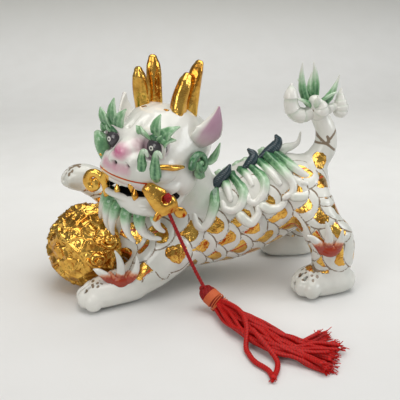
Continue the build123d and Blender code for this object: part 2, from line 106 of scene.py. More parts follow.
def arc(root, bend, tip, count=7):
    """Points from root to tip along an arc drawn towards the bend."""
    s = np.linspace(0, 1, count)[:, None]
    root, bend, tip = (np.array(p, float) for p in (root, bend, tip))
    return root * (1 - s) ** 2 + bend * 2 * s * (1 - s) + tip * s * s


def reach(points, path):
    """Distance of each point from a run of straight lines."""
    nearest = np.full(len(points), 1e9)
    path = np.asarray(path, float)[:, :3]
    for a, b in zip(path, path[1:]):
        along = np.clip((points - a) @ (b - a) / max((b - a) @ (b - a), 1e-9), 0, 1)
        gap = np.linalg.norm(points - a - along[:, None] * (b - a), axis=1)
        nearest = np.minimum(nearest, gap)
    return nearest


def gold_layer(inside):
    """The painted layer that turns gold where a distance inside a patch, in mm, is positive."""
    return np.clip(0.5 + inside / 10, 0, 1)


def show(name, data):
    """An object of the scene, made from mesh, light or camera data."""
    made = bpy.data.objects.new(name, data)
    bpy.context.scene.collection.objects.link(made)
    return made


# ---------------------------------------------------------------- node materials


class Paint:
    """A node material, written as calls that each return the socket their node gives."""

    def __init__(self, name):
        self.material = bpy.data.materials.new(name)
        self.material.use_nodes = True
        self.tree = self.material.node_tree
        self.shader = self.tree.nodes["Principled BSDF"]
        self.place = self.node("TexCoord").outputs["Object"]

    def node(self, kind, settings=None, inputs=None):
        made = self.tree.nodes.new("ShaderNode" + kind)
        for key, value in (settings or {}).items():
            setattr(made, key, value)
        for key, value in (inputs or {}).items():
            self.feed(made.inputs[key], value)
        return made

    def feed(self, socket, value):
        if isinstance(value, bpy.types.NodeSocket):
            self.tree.links.new(value, socket)
        else:
            socket.default_value = value

    def layer(self, name):
        return self.node("Attribute", {"attribute_name": name}).outputs["Fac"]

    def noise(self, per_mm, detail=3.0, rough=0.5, twist=0.0):
        return self.node("TexNoise", None, {
            "Vector": self.place, "Scale": per_mm * 1000, "Detail": detail,
            "Roughness": rough, "Distortion": twist}).outputs["Fac"]

    def wander(self, per_mm, strength, detail=3.0, rough=0.5):
        """Noise about zero, up to half the strength either way."""
        return self.times(self.sum(self.noise(per_mm, detail, rough), -0.5), strength)

    def ease(self, value, low, high, start=0.0, end=1.0):
        return self.node("MapRange", {"interpolation_type": "SMOOTHSTEP"}, {
            "Value": value, "From Min": low, "From Max": high,
            "To Min": start, "To Max": end}).outputs["Result"]

    def sum(self, a, b, operation="ADD"):
        return self.node("Math", {"operation": operation}, {0: a, 1: b}).outputs[0]

    def times(self, a, b):
        return self.sum(a, b, "MULTIPLY")

    def blend(self, part, below, above):
        return self.node("Mix", {"data_type": "RGBA"}, {0: part, 6: below, 7: above}).outputs[2]

    def stops(self, value, *stops):
        ramp = self.node("ValToRGB", None, {0: value})
        points = ramp.color_ramp.elements
        while len(points) < len(stops):
            points.new(0.5)
        for point, (at, colour) in zip(points, stops):
            point.position = at
            point.color = colour
        return ramp.outputs["Color"]

    def bump(self, height, millimetres, normal=None):
        made = self.node("Bump", None, {"Height": height, "Distance": millimetres / 1000})
        if normal:
            self.feed(made.inputs["Normal"], normal)
        return made.outputs["Normal"]

    def finish(self, **inputs):
        for key, value in inputs.items():
            self.feed(self.shader.inputs[key.replace("_", " ")], value)
        return self.material


def tone(red, green, blue):
    """A colour given as it looks on screen, 0 to 255, as the shader's own numbers."""
    parts = [v / 255 for v in (red, green, blue)]
    return tuple(v / 12.92 if v <= 0.04045 else ((v + 0.055) / 1.055) ** 2.4 for v in parts) + (1.0,)


WHITE = tone(224, 223, 216)
WHITE_DEEP = tone(206, 207, 199)
GOLD = tone(238, 190, 92)
GOLD_DEEP = tone(196, 136, 54)
BROWN = tone(112, 88, 58)
GREEN_PALE = tone(186, 208, 182)
GREEN = tone(118, 164, 118)
GREEN_DEEP = tone(54, 104, 68)


def gold_tone(paint, per_mm=0.12):
    """Gold lustre that goes from thin and brownish to thick and bright."""
    return paint.stops(paint.noise(per_mm, 4, 0.6), (0.35, GOLD_DEEP), (0.6, GOLD))


def glaze():
    """White glaze with the painted layers that the sculpted pieces carry, among them painted shade in the eye
    sockets, the ear hollows, the mouth and the nostrils.
    """
    paint = Paint("painted_glaze")
    colour = paint.blend(paint.ease(paint.noise(0.035), 0.35, 0.7), WHITE, WHITE_DEEP)
    green = paint.times(paint.layer("green"), paint.ease(paint.noise(0.16, 4), 0.2, 0.6, 0.6, 1.1))
    colour = paint.blend(paint.ease(green, 0.0, 0.5, 0, 0.75), colour, GREEN_PALE)
    colour = paint.blend(paint.ease(green, 0.45, 0.95), colour, GREEN)
    pink = paint.times(paint.layer("pink"), paint.ease(paint.noise(0.3, 4), 0.2, 0.6, 0.7, 1.0))
    colour = paint.blend(pink, colour, tone(198, 74, 132))
    # Plum-coloured painted shade round the eye sockets and in the ear hollows
    colour = paint.blend(paint.ease(paint.layer("plum"), 0, 1), colour, tone(150, 96, 130))
    line = paint.ease(paint.sum(paint.layer("line"), paint.wander(0.25, 0.35, 2)), 0.62, 0.8)
    colour = paint.blend(paint.times(line, 0.88), colour, BROWN)
    gold = paint.ease(paint.sum(paint.layer("gold"), paint.wander(0.3, 0.26, 2)), 0.488, 0.512)
    colour = paint.blend(gold, colour, gold_tone(paint))
    red = paint.ease(paint.sum(paint.layer("red"), paint.wander(0.35, 0.5)), 0.35, 0.75)
    colour = paint.blend(red, colour, tone(186, 62, 24))
    # Near-black painted shade in the mouth and the nostrils, where the glaze is also made rough
    hollow_shading = paint.ease(paint.layer("dark"), 0.35, 0.65)
    colour = paint.blend(hollow_shading, colour, tone(14, 13, 14))
    dents = paint.bump(paint.noise(0.09, 2), 0.5)
    leafy = paint.bump(paint.times(paint.noise(0.14, 3, 0.5, 1.0), gold), 1.6, dents)
    return paint.finish(
        Base_Color=colour, Metallic=paint.times(gold, paint.sum(1.0, red, "SUBTRACT")), Normal=leafy,
        Roughness=paint.ease(hollow_shading, 0, 1, 0.17, 0.95), Coat_Weight=0.15, Coat_Roughness=0.05)


def gilt(name, dents_mm, per_mm):
    """Bright gold lustre over clay with finger marks."""
    paint = Paint(name)
    soft = paint.bump(paint.noise(per_mm, 3, 0.5, 0.8), dents_mm)
    fine = paint.bump(paint.noise(per_mm * 4, 2), dents_mm * 0.15, soft)
    return paint.finish(Base_Color=gold_tone(paint, 0.07), Metallic=1.0, Normal=fine,
                        Roughness=paint.ease(paint.noise(0.2), 0.3, 0.7, 0.14, 0.26))


def enamel():
    """Green enamel over white glaze: the layer says how thick the green lies."""
    paint = Paint("green_enamel")
    depth = paint.ease(paint.noise(0.3, 4, 0.6), 0.25, 0.65, 0.72, 1.12)
    green = paint.times(paint.layer("green"), depth)
    colour = paint.stops(green, (0.0, WHITE), (0.25, GREEN_PALE), (0.62, GREEN), (0.95, GREEN_DEEP))
    dents = paint.bump(paint.noise(0.35, 3), 0.35)
    return paint.finish(Base_Color=colour, Roughness=0.16, Normal=dents, Coat_Weight=0.3,
                        Coat_Roughness=0.05)


def dark_enamel():
    """Blue-black enamel with combed lines across the back spines."""
    paint = Paint("dark_enamel")
    comb = paint.node("TexWave", {"bands_direction": "DIAGONAL"}, {
        "Vector": paint.place, "Scale": 260.0, "Distortion": 2.0, "Detail": 1.0}).outputs["Fac"]
    colour = paint.blend(paint.times(comb, paint.noise(0.2)), tone(16, 34, 44), tone(62, 92, 100))
    return paint.finish(Base_Color=colour, Roughness=0.2, Coat_Weight=0.3, Coat_Roughness=0.06,
                        Normal=paint.bump(comb, 0.25))


def flame_paint():
    """White flame curls rising from an orange-red root."""
    paint = Paint("flame_glaze")
    red = paint.sum(paint.layer("red"), paint.wander(0.3, 0.9, 4, 0.65))
    colour = paint.blend(paint.ease(paint.noise(0.05), 0.3, 0.7), WHITE, WHITE_DEEP)
    colour = paint.blend(paint.ease(red, 0.2, 0.65, 0, 0.85), colour, tone(206, 122, 62))
    colour = paint.blend(paint.ease(red, 0.5, 0.95), colour, tone(156, 46, 14))
    return paint.finish(Base_Color=colour, Roughness=0.18, Coat_Weight=0.25, Coat_Roughness=0.05,
                        Normal=paint.bump(paint.noise(0.2, 3), 0.3))


def eye_paint():
    """Grey-black glazed eye with a painted white ring."""
    paint = Paint("eye_black")
    colour = paint.blend(paint.noise(0.5, 4), tone(40, 38, 42), tone(84, 80, 84))
    colour = paint.blend(paint.ease(paint.layer("ring"), 0.3, 0.7), colour, tone(226, 224, 216))
    return paint.finish(Base_Color=colour, Roughness=0.12, Coat_Weight=0.4, Coat_Roughness=0.04,
                        Normal=paint.bump(paint.noise(0.5, 3), 0.2))


def thread(name, colour, deep, per_mm=0.9):
    """Silky twisted thread: fine strands, darker between them, with painted shade along the grooves."""
    paint = Paint(name)
    strands = paint.noise(per_mm, 3, 0.6)
    # Painted shade in the grooves between plies and between ribs
    shade = paint.blend(paint.ease(paint.layer("groove"), 0, 1, 0, 0.6), colour, deep)
    shade = paint.blend(paint.ease(strands, 0.35, 0.75, 0, 0.4), shade, deep)
    return paint.finish(Base_Color=shade, Roughness=0.5, Specular_IOR_Level=0.3,
                        Normal=paint.bump(strands, 0.3))


painted_glaze = glaze()
gilt_smooth = gilt("gilt_lustre", 0.7, 0.14)
green_enamel = enamel()
flame_glaze = flame_paint()
eye_glaze = eye_paint()
red_cord = thread("red_cord", tone(178, 22, 24), tone(96, 8, 10))
red_silk = thread("red_silk", tone(206, 16, 8), tone(88, 4, 6))
red_wrap = thread("red_wrap", tone(166, 20, 20), tone(88, 8, 8), 1.6)
orange_silk = thread("orange_silk", tone(212, 108, 60), tone(176, 70, 36), 1.4)

# ---------------------------------------------------------------- meshes


class Skin:
    """Mesh parts gathered into one piece, with the painted layers of their points."""

    def __init__(self):
        self.points, self.faces, self.layers, self.count = [], [], [], 0

    def add(self, points, faces, **layers):
        self.points.append(np.asarray(points, float)[:, :3])
        self.faces += [tuple(corner + self.count for corner in face) for face in faces]
        self.layers.append(layers)
        self.count += len(points)

    def sweep(self, rows, spacing, across=None, around=12, cup=0.0, relief=None, head=False, **layers):
        """Adds a tube along the smooth line through rows, or along rows themselves without spacing.

        Rows in head sizes are carried over, and a layer may be a function(points, along, turn).
        """
        path = smooth_path(rows, spacing) if spacing else rows
        points, faces, along, turn = tube(path, across, around, cup, relief)
        layers = {key: layer(points, along, turn) if callable(layer) else layer
                  for key, layer in layers.items()}
        self.add(from_head(points) if head else points, faces, **layers)

    def twine(self, rows, spacing, around, turns, depth):
        """Adds a cord of two plies, laid up with that many turns and pressed in between them."""
        def between(turn, along):
            return 0.5 - 0.5 * np.cos(2 * (turn - 2 * math.pi * turns * along))

        # The groove layer paints shade where the plies press together
        self.sweep(rows, spacing, None, around, relief=lambda turn, along: 1 - depth * between(turn, along),
                   groove=lambda points, along, turn: between(turn, along))

    def make(self, name, material, stands_for, body="statue"):
        """The piece itself, riding its body and standing for the CAD's nodes."""
        mesh = bpy.data.meshes.new(name)
        mesh.from_pydata(put(np.vstack(self.points)), [], self.faces)
        mesh.shade_smooth()
        for key in sorted({key for layers in self.layers for key in layers}):
            parts = [np.broadcast_to(layers.get(key, 0.0), len(points))
                     for layers, points in zip(self.layers, self.points)]
            values = np.concatenate(parts).astype(np.float32)
            mesh.attributes.new(key, "FLOAT", "POINT").data.foreach_set("value", values)
        mesh.materials.append(material)
        piece = show(name, mesh)
        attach(piece, body)
        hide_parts(*stands_for)
        return piece


def frames_along(path, across=None):
    """Unit directions along, sideways and upwards at each point of a path."""
    ahead = unit(np.gradient(path[:, :3], axis=0))
    if across is None:
        side = np.cross(ahead[0], (0.3, 0.2, 1.0))
        sides = []
        for direction in ahead:
            side = unit(side - direction * (side @ direction))
            sides.append(side)
        side = np.array(sides)
    else:
        guide = np.broadcast_to(np.asarray(across, float), ahead.shape)
        side = unit(guide - ahead * np.sum(guide * ahead, 1, keepdims=True))
    return ahead, side, np.cross(ahead, side)


def tube(path, across=None, around=14, cup=0.0, relief=None):
    """Skin swept along rows of x, y, z, half width, half thickness, with rounded ends.

    `cup` bends its section, and relief(turn, along) scales it. Returns points, faces, how
    far along from 0 to 1, and the turn about the path.
    """
    path = np.asarray(path, float)
    ahead, side, up = frames_along(path, across)
    rounding = np.array((0.35, 0.68, 0.9))
    shut = np.sqrt(1 - rounding**2)
    first, last = path[0], path[-1]
    blunt = [min(end[3], end[4]) for end in (first, last)]
    rows = [(first[:3] - ahead[0] * blunt[0] * r, 0, s) for r, s in zip(rounding[::-1], shut[::-1])]
    rows += [(row[:3], n, 1.0) for n, row in enumerate(path)]
    rows += [(last[:3] + ahead[-1] * blunt[1] * r, len(path) - 1, s) for r, s in zip(rounding, shut)]
    turn = np.arange(around) * 2 * math.pi / around
    points, along = [], []
    for middle, n, size in rows:
        part = n / (len(path) - 1)
        swell = size if relief is None else size * relief(turn, part)
        wide = path[n, 3] * swell * np.cos(turn)
        high = path[n, 4] * swell * np.sin(turn) + cup * path[n, 3] * size * np.cos(turn) ** 2
        points.append(middle + wide[:, None] * side[n] + high[:, None] * up[n])
        along.append(np.full(around, part))
    faces = []
    for ring in range(len(rows) - 1):
        for k in range(around):
            here, there = ring * around, (ring + 1) * around
            after = (k + 1) % around
            faces.append((here + k, here + after, there + after, there + k))
    count = len(rows) * around
    faces += [tuple(range(around))[::-1], tuple(range(count - around, count))]
    return np.vstack(points), faces, np.concatenate(along), np.tile(turn, len(rows))


# ---------------------------------------------------------------- clay on a grid


class Clay:
    """A block of clay: distances to its surface on a grid, worked with blended shapes."""

    def __init__(self, low, high, step):
        self.low, self.step = np.array(low, float), step
        size = np.ceil((np.array(high, float) - self.low) / step).astype(int) + 1
        self.field = np.full(size, FAR, np.float32)

    def window(self, low, high):
        """The part of the grid between two corners, and the coordinates of its points."""
        first = np.clip(np.floor((low - self.low) / self.step), 0, self.field.shape).astype(int)
        last = np.clip(np.ceil((high - self.low) / self.step) + 1, 0, self.field.shape).astype(int)
        axes = [(low + self.step * np.arange(a, b)).astype(np.float32)
                for low, a, b in zip(self.low, first, last)]
        grid = tuple(slice(a, b) for a, b in zip(first, last))
        return grid, *np.meshgrid(*axes, indexing="ij", sparse=True)

    def work(self, distance, grid, blend, carve):
        """Joins a shape to the clay, or carves it out, over a soft edge."""
        old = self.field[grid]
        if carve:
            old = -old
        mix = np.clip(0.5 + 0.5 * (old - distance) / blend, 0, 1)
        new = old + (distance - old) * mix - blend * mix * (1 - mix)
        self.field[grid] = -new if carve else new

    def lump(self, middle, radii, blend=3.0, carve=False):
        """One ellipsoid."""
        middle = np.array(middle, float)
        span = max(radii) + blend + 2
        grid, x, y, z = self.window(middle - span, middle + span)
        distance = egg(x - middle[0], y - middle[1], z - middle[2], radii)
        self.work(distance, grid, blend, carve)

    def roll(self, rows, across=(0, 1, 0), blend=4.0, carve=False, length=0.85):
        """A limb along rows of x, y, z, half width along `across`, half thickness."""
        rows = np.array(rows, float)
        rows = smooth_path(rows, max(self.step, 0.18 * rows[:, 3:5].min()))
        ahead, side, up = frames_along(rows, across)
        reach_out = rows[:, 3:5].max(1)[:, None] + blend + 2
        whole = self.window((rows[:, :3] - reach_out).min(0), (rows[:, :3] + reach_out).max(0))[0]
        shape = np.full(self.field.shape, FAR, np.float32)[whole]
        corner = np.array([s.start for s in whole])
        for row, *axes, span in zip(rows, side, up, ahead, reach_out):
            grid, x, y, z = self.window(row[:3] - span, row[:3] + span)
            local = tuple(slice(s.start - c, s.stop - c) for s, c in zip(grid, corner))
            radii = (row[3], row[4], min(row[3], row[4]) * length)
            distance = egg(x - row[0], y - row[1], z - row[2], radii, axes)
            np.minimum(shape[local], distance, out=shape[local])
        self.work(shape, whole, blend, carve)

    def box(self, middle, half, blend=2.0, carve=False, corner=2.0, tilt=0.0):
        """A box with rounded edges, sheared to rise by `tilt` along -y."""
        middle, half = np.array(middle, float), np.array(half, float)
        grid, x, y, z = self.window(middle - half - blend - 3, middle + half + blend + 3)
        sheared = (x, y, z + (y - middle[1]) * tilt)
        gaps = [abs(v - m) - h + corner for v, m, h in zip(sheared, middle, half)]
        outside = np.sqrt(sum(np.maximum(g, 0) ** 2 for g in gaps))
        inside = np.minimum(np.maximum(np.maximum(gaps[0], gaps[1]), gaps[2]), 0)
        self.work((outside + inside - corner).astype(np.float32), grid, blend, carve)

    def skin(self):
        """Points, faces and outward directions of the clay's surface."""
        grid = openvdb.FloatGrid(FAR)
        grid.copyFromArray(self.field)
        points, faces = grid.convertToQuads(isovalue=0.0)
        points, faces = points.astype(float), faces.astype(int)
        normals = np.zeros_like(points)
        corners = points[faces]
        across = np.cross(corners[:, 2] - corners[:, 0], corners[:, 3] - corners[:, 1])
        for k in range(4):
            np.add.at(normals, faces[:, k], across)
        return points * self.step + self.low, faces, unit(normals)


def egg(x, y, z, radii, axes=None):
    """Rough distance from an ellipsoid, from coordinates about its middle."""
    if axes is not None:
        x, y, z = (x * a[0] + y * a[1] + z * a[2] for a in np.array(axes, np.float32))
    a, b, c = (np.float32(r) for r in radii)
    level = np.sqrt((x / a) ** 2 + (y / b) ** 2 + (z / c) ** 2)
    slope = np.sqrt((x / a**2) ** 2 + (y / b**2) ** 2 + (z / c**2) ** 2) + 1e-6
    return level * (level - 1) / slope


# ---------------------------------------------------------------- camera, lights and table

CAMERA_TURN, CAMERA_RISE, CAMERA_AWAY = math.radians(-8), math.radians(20), 0.520
LOOK_AT = Vector((-0.0008, -0.019, 0.076))

back = Vector((math.sin(CAMERA_TURN) * math.cos(CAMERA_RISE),
               -math.cos(CAMERA_TURN) * math.cos(CAMERA_RISE), math.sin(CAMERA_RISE)))
camera_data = bpy.data.cameras.new("camera")
camera_data.lens = 62.4
camera_data.sensor_width = 36
camera = show("camera", camera_data)
camera.location = LOOK_AT + back * CAMERA_AWAY
camera.rotation_euler = back.to_track_quat("Z", "Y").to_euler()
bpy.context.scene.camera = camera


def softbox(name, place, width, watts, colour):
    """Square area light aimed at the statue."""
    light = bpy.data.lights.new(name, "AREA")
    light.shape = "SQUARE"
    light.size = width
    light.energy = watts
    light.color = colour
    lamp = show(name, light)
    lamp.location = place
    aim = Vector(place) - Vector((0, 0, 0.07))
    lamp.rotation_euler = aim.to_track_quat("Z", "Y").to_euler()


softbox("overhead", (0.1, -0.05, 0.95), 0.9, 7.5, (1.0, 0.98, 0.95))
softbox("front_left", (-0.8, -0.75, 0.6), 0.6, 4.0, (1.0, 0.97, 0.93))
softbox("right", (0.95, -0.3, 0.45), 0.4, 2.2, (0.95, 0.98, 1.0))

world = bpy.data.worlds.new("studio")
world.use_nodes = True
world.node_tree.nodes["Background"].inputs["Color"].default_value = tone(206, 208, 210)
world.node_tree.nodes["Background"].inputs["Strength"].default_value = 0.45
bpy.context.scene.world = world
bpy.context.scene.view_settings.view_transform = "Standard"


def paper():
    """Pale seamless paper with painted light falloff: the floor lighter towards the wall, and painted shade
    darkening it up the wall.
    """
    paint = Paint("seamless_paper_painted_falloff")
    place = paint.node("SeparateXYZ", None, {"Vector": paint.place}).outputs
    # Painted light: the floor grows lighter towards the wall
    colour = paint.blend(paint.ease(place["Y"], -0.2, 0.34), tone(217, 217, 216), tone(243, 243, 241))
    # Painted shade: the wall grows darker upwards
    colour = paint.blend(paint.ease(place["Z"], 0.03, 0.26), colour, tone(170, 170, 162))
    colour = paint.blend(paint.ease(paint.noise(0.03, 4), 0.3, 0.7, 0, 0.06), colour, tone(200, 198, 190))
    return paint.finish(Base_Color=colour, Roughness=0.85, Normal=paint.bump(paint.noise(0.8, 2), 0.05))


def backdrop():
    """Paper laid on the table and curved up behind the statue."""
    half, front, fold, radius, top = 5.0, -5.0, 0.62, 0.35, 1.6
    line = [(front, 0), (fold, 0)]
    line += [(fold + radius * math.sin(a), radius * (1 - math.cos(a)))
             for a in np.linspace(0.1, math.pi / 2, 14)]
    line.append((fold + radius, top))
    points = [(side * half, y, z) for y, z in line for side in (-1, 1)]
    faces = [(2 * n, 2 * n + 1, 2 * n + 3, 2 * n + 2) for n in range(len(line) - 1)]
    mesh = bpy.data.meshes.new("backdrop")
    mesh.from_pydata(points, [], faces)
    mesh.shade_smooth()
    mesh.materials.append(paper())
    show("backdrop", mesh)


backdrop()

# ---------------------------------------------------------------- tassel

CORD_RADIUS = 1.3
ROUTE = [(-26.5, -60, 79.6), (-3, -50.5, 17), (9.5, -62.5, 7.2), (24, -96, 6), (46, -115, 5)]


def route_line():
    """Points along the smooth line that the cord's route steers, in mm."""
    curve = bpy.data.curves.new("route", "CURVE")
    curve.dimensions = "3D"
    spline = curve.splines.new("NURBS")
    spline.points.add(len(ROUTE) - 1)
    for point, place in zip(spline.points, put(ROUTE)):
        point.co = (*place, 1)
    spline.order_u = 3
    spline.use_endpoint_u = True
    spline.resolution_u = 32
    guide = bpy.data.objects.new("route", curve)
    mesh = bpy.data.meshes.new_from_object(guide)
    line = np.array([v.co for v in mesh.vertices]) * 1000 - SHIFT
    bpy.data.objects.remove(guide)
    bpy.data.curves.remove(curve)
    bpy.data.meshes.remove(mesh)
    return line


line = smooth_path(route_line()[::4], 0.7)
cord_skin = Skin()
cord_skin.twine(np.column_stack([line, np.full((len(line), 2), CORD_RADIUS * 1.08)]), None, 16, 26, 0.2)
cord = cord_skin.make("red_double_cord", red_cord, ["tassel_cord"], "tassel")

# The tassel's head, from the cord down to the skirt
HEAD_TOP = np.array((-2.0, -51.0, 16.0))
HEAD_FOOT = np.array((9.0, -62.0, 7.6))
head_run = unit(HEAD_FOOT - HEAD_TOP)


def head_rows(stations, spacing):
    """Smooth rows down the middle of the tassel's head, from distances down and radii."""
    rows = [(*(HEAD_TOP + head_run * down), radius, radius) for down, radius in stations]
    return smooth_path(rows, spacing)


def ribbed(skin, rows, around, count, depth):
    """Adds a round body with that many even ribs along it."""
    def between(along):
        return 0.5 - 0.5 * np.cos(2 * math.pi * count * along)

    # The groove layer paints shade between the ribs
    skin.sweep(rows, None, None, around, relief=lambda turn, along: 1 - depth * between(along),
               groove=lambda points, along, turn: between(along))


wrap_rows = head_rows(((0, 2.4), (2.0, 4.4), (5, 5.4), (10, 5.7), (14, 5.6), (18.5, 5.9)), 0.35)
wrap_side, wrap_up = (directions[0] for directions in frames_along(wrap_rows)[1:])
wrap_skin = Skin()
ribbed(wrap_skin, wrap_rows, 40, 22, 0.035)
for turn in np.arange(12) * 2 * math.pi / 12:
    loop = [(*(HEAD_TOP + head_run * down + radius * (wrap_side * math.cos(turn + down * 0.12)
                                                      + wrap_up * math.sin(turn + down * 0.12))), 0.8, 0.8)
            for down, radius in ((0.4, 2.2), (2.4, 4.6), (5.5, 5.5), (7.0, 5.7))]
    wrap_skin.twine(loop, 0.6, 8, 3, 0.2)
tassel_head = wrap_skin.make("tassel_wrapped_head", red_wrap, ["tassel_head"], "tassel")

band_skin = Skin()
band_rows = head_rows(((6.9, 4.0), (7.2, 6.5), (9.5, 6.7), (11.5, 6.7), (13.4, 6.6), (13.7, 4.0)), 0.3)
ribbed(band_skin, band_rows, 48, 9, 0.03)
for down in 15 + 1.1 * np.arange(4):
    lean = dice.normal(0, 0.12, 2)
    loop = [(*(HEAD_TOP + head_run * (down + 6 * (lean[0] * math.cos(turn) + lean[1] * math.sin(turn)))
               + 6.6 * (wrap_side * math.cos(turn) + wrap_up * math.sin(turn))), 0.42, 0.42)
            for turn in np.linspace(0, 2 * math.pi, 17)]
    # A light painted shade all along each loop
    band_skin.sweep(loop, 0.9, None, 6, groove=0.3)
tassel_band = band_skin.make("tassel_orange_band", orange_silk, ["tassel_band"], "tassel")

# Middle, half width and half height of the skirt on its way from the head to its ends,
# where the ends lie, the routes of the loose strands, and how low and how thick strands are
BUNDLE = [(8.5, -61.5, 8, 5.6, 5.6), (11.5, -69, 7.6, 7.4, 6), (17, -81, 7.2, 10.5, 6.5),
          (25, -94, 6.8, 13, 6.2), (32.5, -107, 6, 13.5, 5.5), (41, -118, 5.4, 12.5, 4.8),
          (51, -125, 4.8, 12.5, 4.2)]
ENDS = [(70, -108), (76, -113), (77, -124), (70, -134), (66, -143), (60, -147)]
STRAYS = [[(9, -64, 11.5), (13, -73, 14.5), (18.5, -84, 15), (21, -95, 14), (20.8, -105, 10),
           (18.2, -115, 3.4), (18.8, -122, 2.2), (21, -131, 2.1), (27, -141, 2.1), (28.2, -149.3, 2.1)],
          [(24, -108, 12), (28, -118, 10), (32.6, -125.5, 5.5), (35, -134, 2.6), (32.3, -143, 2.1),
           (29, -148.6, 2.1)]]
STRAND_RADIUS, STRAY_RADIUS = 1.5, 1.9
LOWEST = STRAND_RADIUS + 0.3
SKIRT_STRANDS = 40
GOLDEN_TURN = 2.39996


def strand_rows(n):
    """One strand of the skirt, kept within the bundle and ending among the loose ends."""
    bundle = smooth_path(BUNDLE, 6)
    _, side, up = frames_along(bundle, (0.75, 0.66, 0))
    turn = n * GOLDEN_TURN
    depth = math.sqrt((n + 0.5) / SKIRT_STRANDS)
    drift = dice.normal(0, 0.25)
    rows = []
    for k, (row, s, u) in enumerate(zip(bundle, side, up)):
        part = k / (len(bundle) - 1)
        a = turn + drift * part * 3 + 0.5 * math.sin(part * 6 + n)
        wide = (row[3] - STRAND_RADIUS) * depth * math.cos(a) + 1.3 * math.sin(part * 9 + 2.4 * n) * part
        high = (row[4] - STRAND_RADIUS) * depth * math.sin(a)
        place = row[:3] + wide * s + high * abs(u)
        rows.append([place[0], place[1], max(place[2], LOWEST)])
    spread = (0.5 - 0.5 * math.cos(turn + drift * 3)) * (len(ENDS) - 1) * 0.999
    k = int(spread)
    end = np.array(ENDS[k]) + (np.array(ENDS[k + 1]) - ENDS[k]) * (spread - k) + dice.normal(0, 1.6, 2)
    end = np.array((*end, LOWEST + 3.0 * abs(dice.normal()) * (dice.random() < 0.5)))
    middle = (rows[-1] + end) / 2 + (*dice.normal(0, 1.8, 2), 0)
    middle[2] = max(middle[2] * 0.9, LOWEST)
    return np.array([*rows, middle, end])


skirt = Skin()
paths = [(strand_rows(n), STRAND_RADIUS) for n in range(SKIRT_STRANDS)]
paths += [(np.array(stray), STRAY_RADIUS) for stray in STRAYS]
for path, radius in paths:
    rows = smooth_path(np.column_stack([path, np.full((len(path), 2), radius)]), 0.9)
    rows[-3:, 3:] *= np.array((1.0, 1.06, 1.15))[:, None]
    skirt.twine(rows, None, 12, len(rows) / 4.5, 0.14)
    tip, toward = rows[-1, :3], unit(rows[-1, :3] - rows[-4, :3])
    for _ in range(7):
        out = dice.normal(0, 0.55, 3)
        fray = [tip, tip + toward * 1.6 + out, tip + toward * (3.2 + dice.random()) + out * 2.6]
        # A light painted shade all along each frayed end
        skirt.sweep([(x, y, max(z, 0.5), 0.28, 0.28) for x, y, z in fray], 1.2, None, 5, groove=0.2)
tassel_skirt = skirt.make("tassel_silk_skirt", red_silk, ["tassel_skirt"], "tassel")

# The knot over the hole: three loops, and a shank down through it
KNOT = np.array((-27.6, -62.6, 93.2))
LOOP_RADIUS = 1.8
knot_skin = Skin()
for lean, lift in ((0.2, 0.0), (1.25, 0.5), (2.3, -0.2)):
    ahead = np.array((math.cos(lean), math.sin(lean), 0))
    loop = [(*(KNOT + (0, 0, lift) + LOOP_RADIUS * (ahead * math.cos(turn) + (0, 0, math.sin(turn)))),
             1.2, 1.2) for turn in np.linspace(0.2, 5.8, 12)]
    knot_skin.twine(loop, 0.6, 12, 3.5, 0.25)
knot_skin.twine([(*KNOT[:2], z, 1.5, 1.5) for z in (81.8, 86, 90, 93)], 0.7, 12, 3, 0.2)
knot_skin.make("cord_stop_knot", red_cord, ["cord_knot"], "knot")

# ---------------------------------------------------------------- body, legs and tail

# x, middle z, half width, half height along the body
BODY = [(-58, 43, 12, 12), (-46, 42, 24, 24), (-24, 41, 30, 29), (4, 46, 31, 31), (32, 55, 31, 34),
        (58, 68, 30, 34), (78, 73.5, 29, 28), (90, 75, 20, 22), (96, 75, 9, 11)]
# x, y, z, half width and half thickness along the neck, the tail and the legs
NECK = [(-6, 0, 56, 24, 29), (-10, -2, 74, 24, 27), (-14, -6, 90, 23, 24), (-18, -10, 105, 21, 21)]
TAIL = [(89, 0, 84, 13, 13), (95.5, 1, 94, 10.2, 10.2), (103, 2, 106, 9.2, 9.2), (103, 2, 119, 8, 8),
        (98, 2, 130, 7, 7), (94, 1, 138, 6.5, 6.5), (92, 0, 144, 4.8, 4.8)]
LEGS = {
    "foreleg_left": [(-12, -18, 46, 15, 18), (-24, -25, 36, 17, 18), (-37, -29, 26, 15, 16.5),
                     (-49, -31, 18, 13, 14), (-60, -33, 14, 11, 12)],
    "foreleg_right": [(-32, 10, 46, 16, 20), (-49, 19, 55, 15, 16), (-62, 25, 64, 13, 13),
                      (-71, 28, 71, 11, 11.5), (-79, 30, 76.5, 9.5, 10.5)],
    "hindleg_left": [(84, -18, 80, 12, 13), (87, -24, 67, 15, 16.5), (93, -31, 53, 16, 15.5),
                     (101, -35, 41, 15, 17), (102, -36, 29, 14, 15.5), (102, -37, 17, 12.5, 13)],
    "hindleg_right": [(77, 18, 80, 12, 13), (80, 24, 67, 15, 16.5), (86, 31, 53, 16, 15.5),
                      (93, 35, 41, 15, 17), (94, 36, 29, 14, 15.5), (94, 37, 17, 12.5, 13)],
}
# The same along a hind paw, and middles of its toes
HIND_PAW = [(115, -37, 8.5, 9, 8.5), (108, -37, 10, 13, 11), (96, -38, 10.5, 14, 12.5),
            (84, -39.5, 10, 14.5, 11.5), (76, -41, 8.5, 11, 8.5)]
HIND_TOES = [(80, -51, 6), (74.5, -46.5, 6.5), (73.5, -40, 6.5), (76.5, -33.5, 6)]


def across_body(rows):
    """A left hind paw's rows on the right side, where the paw stands 8 mm further forward."""
    return [(x - 8, -y, *sizes) for x, y, *sizes in rows]


